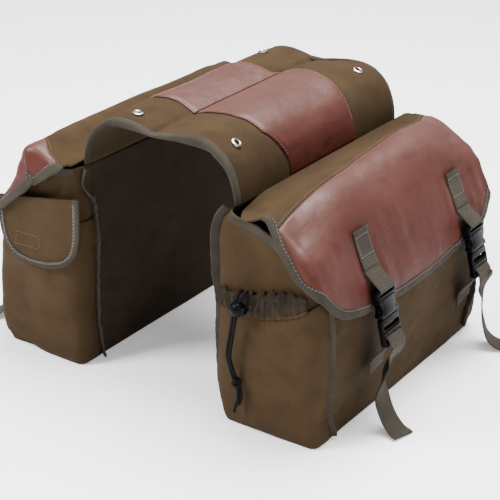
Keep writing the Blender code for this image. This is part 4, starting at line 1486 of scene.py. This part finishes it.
def bridge_top(d, y):
    place = bridge_base(d, y)
    normal = -normals_of(bridge_base, np.asarray(d, float), np.asarray(y, float), 0.0015, 0.0008)
    x, yy = place[..., 0], place[..., 1]
    near, far = patch_edges(x)
    groove = -0.0013 * (bump(yy, near, 0.005) + bump(yy, far, 0.005))
    valley = -0.0022 * bump(x, -0.0115, 0.0045) * (1 + 1.2 * smooth(np.abs(yy), 0.12, 0.17))
    dimple = sum(-0.0012 * np.exp(-((x - ex) ** 2 + (yy - ey) ** 2) / 0.011 ** 2)
                 for ex, ey in EYELETS.values())
    swell = 0.0014 * wander(place, (0.06, 0.08, 0.2), 61)
    swell = swell + 0.0006 * wander(place, (0.024, 0.030, 0.1), 62)
    fine = 0.0002 * wander(place, 0.010, 63)
    edge = 0.0009 * smooth(np.abs(yy), 0.145, 0.18) * wander(place, (0.020, 0.02, 0.02), 64)
    free = smooth(place[..., 2], 0.272, 0.315)
    return place + normal * (free * (groove + valley + dimple + swell + fine + edge))[..., None]


def on_bridge(d, y, lift):
    normal = -normals_of(bridge_top, d, y, 0.0012, 0.0008)
    return bridge_top(d, y) + normal * np.asarray(lift)[..., None], normal


def bridge_pad():
    rows = np.linspace(0, BRIDGE_LENGTH, 150)
    y = np.concatenate([[-HALF_BRIDGE], np.linspace(-0.1795, 0.1795, 128), [HALF_BRIDGE]])
    d, yy = np.meshgrid(rows, y, indexing="ij")
    top = bridge_top(d, yy)
    high, low = pad_lines(np.linspace(0, 1, 60)[::-1])
    middle = (low + high) / 2
    under = []
    for value in y:
        place = middle + (low - middle) * float(pinch(value))
        under.append(points(place[:, 0], np.full(60, value), place[:, 1]))
    under = np.stack(under, axis=1)
    grid = np.concatenate([top, under], axis=0)
    mesh = grid_mesh("bridge_pad_cloth", grid, patch_uv(grid), closed=True)
    form = bmesh.new()
    form.from_mesh(mesh)
    rims = [e for e in form.edges if e.is_boundary]
    bmesh.ops.holes_fill(form, edges=rims)
    bmesh.ops.recalc_face_normals(form, faces=form.faces)
    form.to_mesh(mesh)
    form.free()
    pad = link("bridge_pad_cloth", mesh, CANVAS, "root")
    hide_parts("bridge_pad")


def bridge_patch():
    valley = -0.0115
    middle = float(bridge_d(valley))
    for label, first, last in (("right", 0.004, middle - 0.0008),
                               ("left", middle + 0.0008, BRIDGE_LENGTH - 0.004)):
        d = np.linspace(first, last, 72)
        x = np.interp(d, BRIDGE_AT, BRIDGE_LINE[:, 0])
        near, far = patch_edges(x)
        share = np.linspace(0, 1, 84)[None, :]
        y = near[:, None] + (far - near)[:, None] * share
        lift = 0.0008 + 0.0005 * smooth(np.minimum(share, 1 - share), 0.0, 0.04) + 0 * y
        lift = lift * (0.4 + 0.6 * smooth(0.112 - np.abs(x), 0.0, 0.008))[:, None]
        grid, _ = on_bridge(d[:, None] + 0 * y, y, lift)
        piece = sheet_piece(f"bridge_patch_{label}", grid, 1.0, LEATHER, "root")
        thicken(piece, 0.0014, 0.0)
        if label == "right":
            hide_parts("bridge_leather_patch")
        for edge, inset, way in ((near, 0.0032, "near"), (far, -0.0032, "far")):
            clear = np.interp(d, BRIDGE_AT, BRIDGE_LINE[:, 1]) > 0.297
            row, out = on_bridge(d[clear], (edge + inset)[clear], np.full(clear.sum(), 0.0021))
            stitches(f"bridge_stitches_{label}_{way}", row, out, TAN_THREAD, "root",
                     0.0044, 0.0031, 0.00045)


def edge_bindings():
    """Tape round the bridge's two ends."""
    for end, label in ((-1, "near"), (1, "far")):
        rows = np.linspace(0.002, BRIDGE_LENGTH - 0.002, 170)
        top, low = pad_lines(rows / BRIDGE_LENGTH)
        middle, half = (top + low) / 2, (top - low) / 2
        thick = np.linalg.norm(half, axis=1)[:, None]
        out = half / thick
        upper = [(0.0095, 0.15), (0.0090, 0.85), (0.005, 1.0), (0.0012, 1.0), (-0.0006, 0.62)]
        section = upper + [(-0.0010, 0.0)] + [(inset, -level) for inset, level in upper[::-1]]
        grid = []
        for inset, level in section:
            wave = 0.0010 * wander(points(rows, 0 * rows, 0 * rows), 0.021, 77 + end)
            y = end * (HALF_BRIDGE - inset - wave + 0.0012)
            keep = pinch(HALF_BRIDGE - max(inset, 0.0) - 0.002)
            reach = thick * keep + 0.0008
            place = middle + out * (reach * level)
            grid.append(points(place[:, 0], y, place[:, 1]))
        grid = np.stack(grid)
        across = np.broadcast_to(np.linspace(0, 0.024, len(section))[:, None], grid.shape[:2])
        uv = np.stack([np.broadcast_to(rows, grid.shape[:2]), across], axis=-1)
        mesh = grid_mesh(f"edge_tape_{label}", grid, uv, closed=True, caps=True)
        fix_normals(mesh)
        tape = link(f"edge_tape_{label}", mesh, TAPE, "root")
        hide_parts(f"edge_binding_{label}")


def back_fins(side, sign, wall, seed):
    """The bound seams that run down the inner corners from the bridge's ends."""
    flap = smooth_line([(0.184, 0.266), (0.187, 0.244), (0.174, 0.220), (0.167, 0.170),
                        (0.168, 0.109), (0.171, 0.054), (0.164, 0.016), (0.160, 0.004)], 90)
    wall_fin(f"{side}_back_seam_flap", wall, around_at(2, y=flap[:, 0]), flap[:, 1], 0.0125,
             sign, lean=0.45, seed=seed + 50)
    cord = smooth_line([(-0.186, 0.266), (-0.192, 0.240), (-0.190, 0.200), (-0.184, 0.160),
                        (-0.182, 0.100), (-0.180, 0.050), (-0.178, 0.004)], 90)
    wall_fin(f"{side}_back_seam_cord", wall, around_at(2, y=cord[:, 0]), cord[:, 1], 0.0120,
             sign, lean=-0.2, seed=seed + 52)


# ---------------------------------------------------------------- build

make_camera()
make_studio()

for side, sign in SIDES.items():
    seed = 100 if sign > 0 else 200
    wall = make_shell(seed)
    drawcord(side, sign)
    bag_body(side, sign, wall)
    body_seams(side, sign, wall, seed)
    back_fins(side, sign, wall, seed)
    cord_pocket(side, sign, wall, seed)
    flap_pocket(side, sign, wall, seed)
    pocket_lid(side, sign, seed)
    surface = lid(side, sign, seed)
    for number in STRAP_Y:
        buckle(side, sign, number)
        upper_strap(side, sign, number, surface)
        lower_strap(side, sign, number)

bridge_pad()
bridge_patch()
edge_bindings()
for node in EYELETS:
    dress(node, NICKEL)

corners = points(*np.meshgrid([-6.0, 6.0], [-6.0, 6.0], indexing="ij"), 0.0)
floor_mesh = grid_mesh("studio_floor", corners, np.zeros((2, 2, 2)))
floor = bpy.data.objects.new("studio_floor", floor_mesh)
floor_mesh.materials.append(pale_floor("studio_floor"))
bpy.context.scene.collection.objects.link(floor)
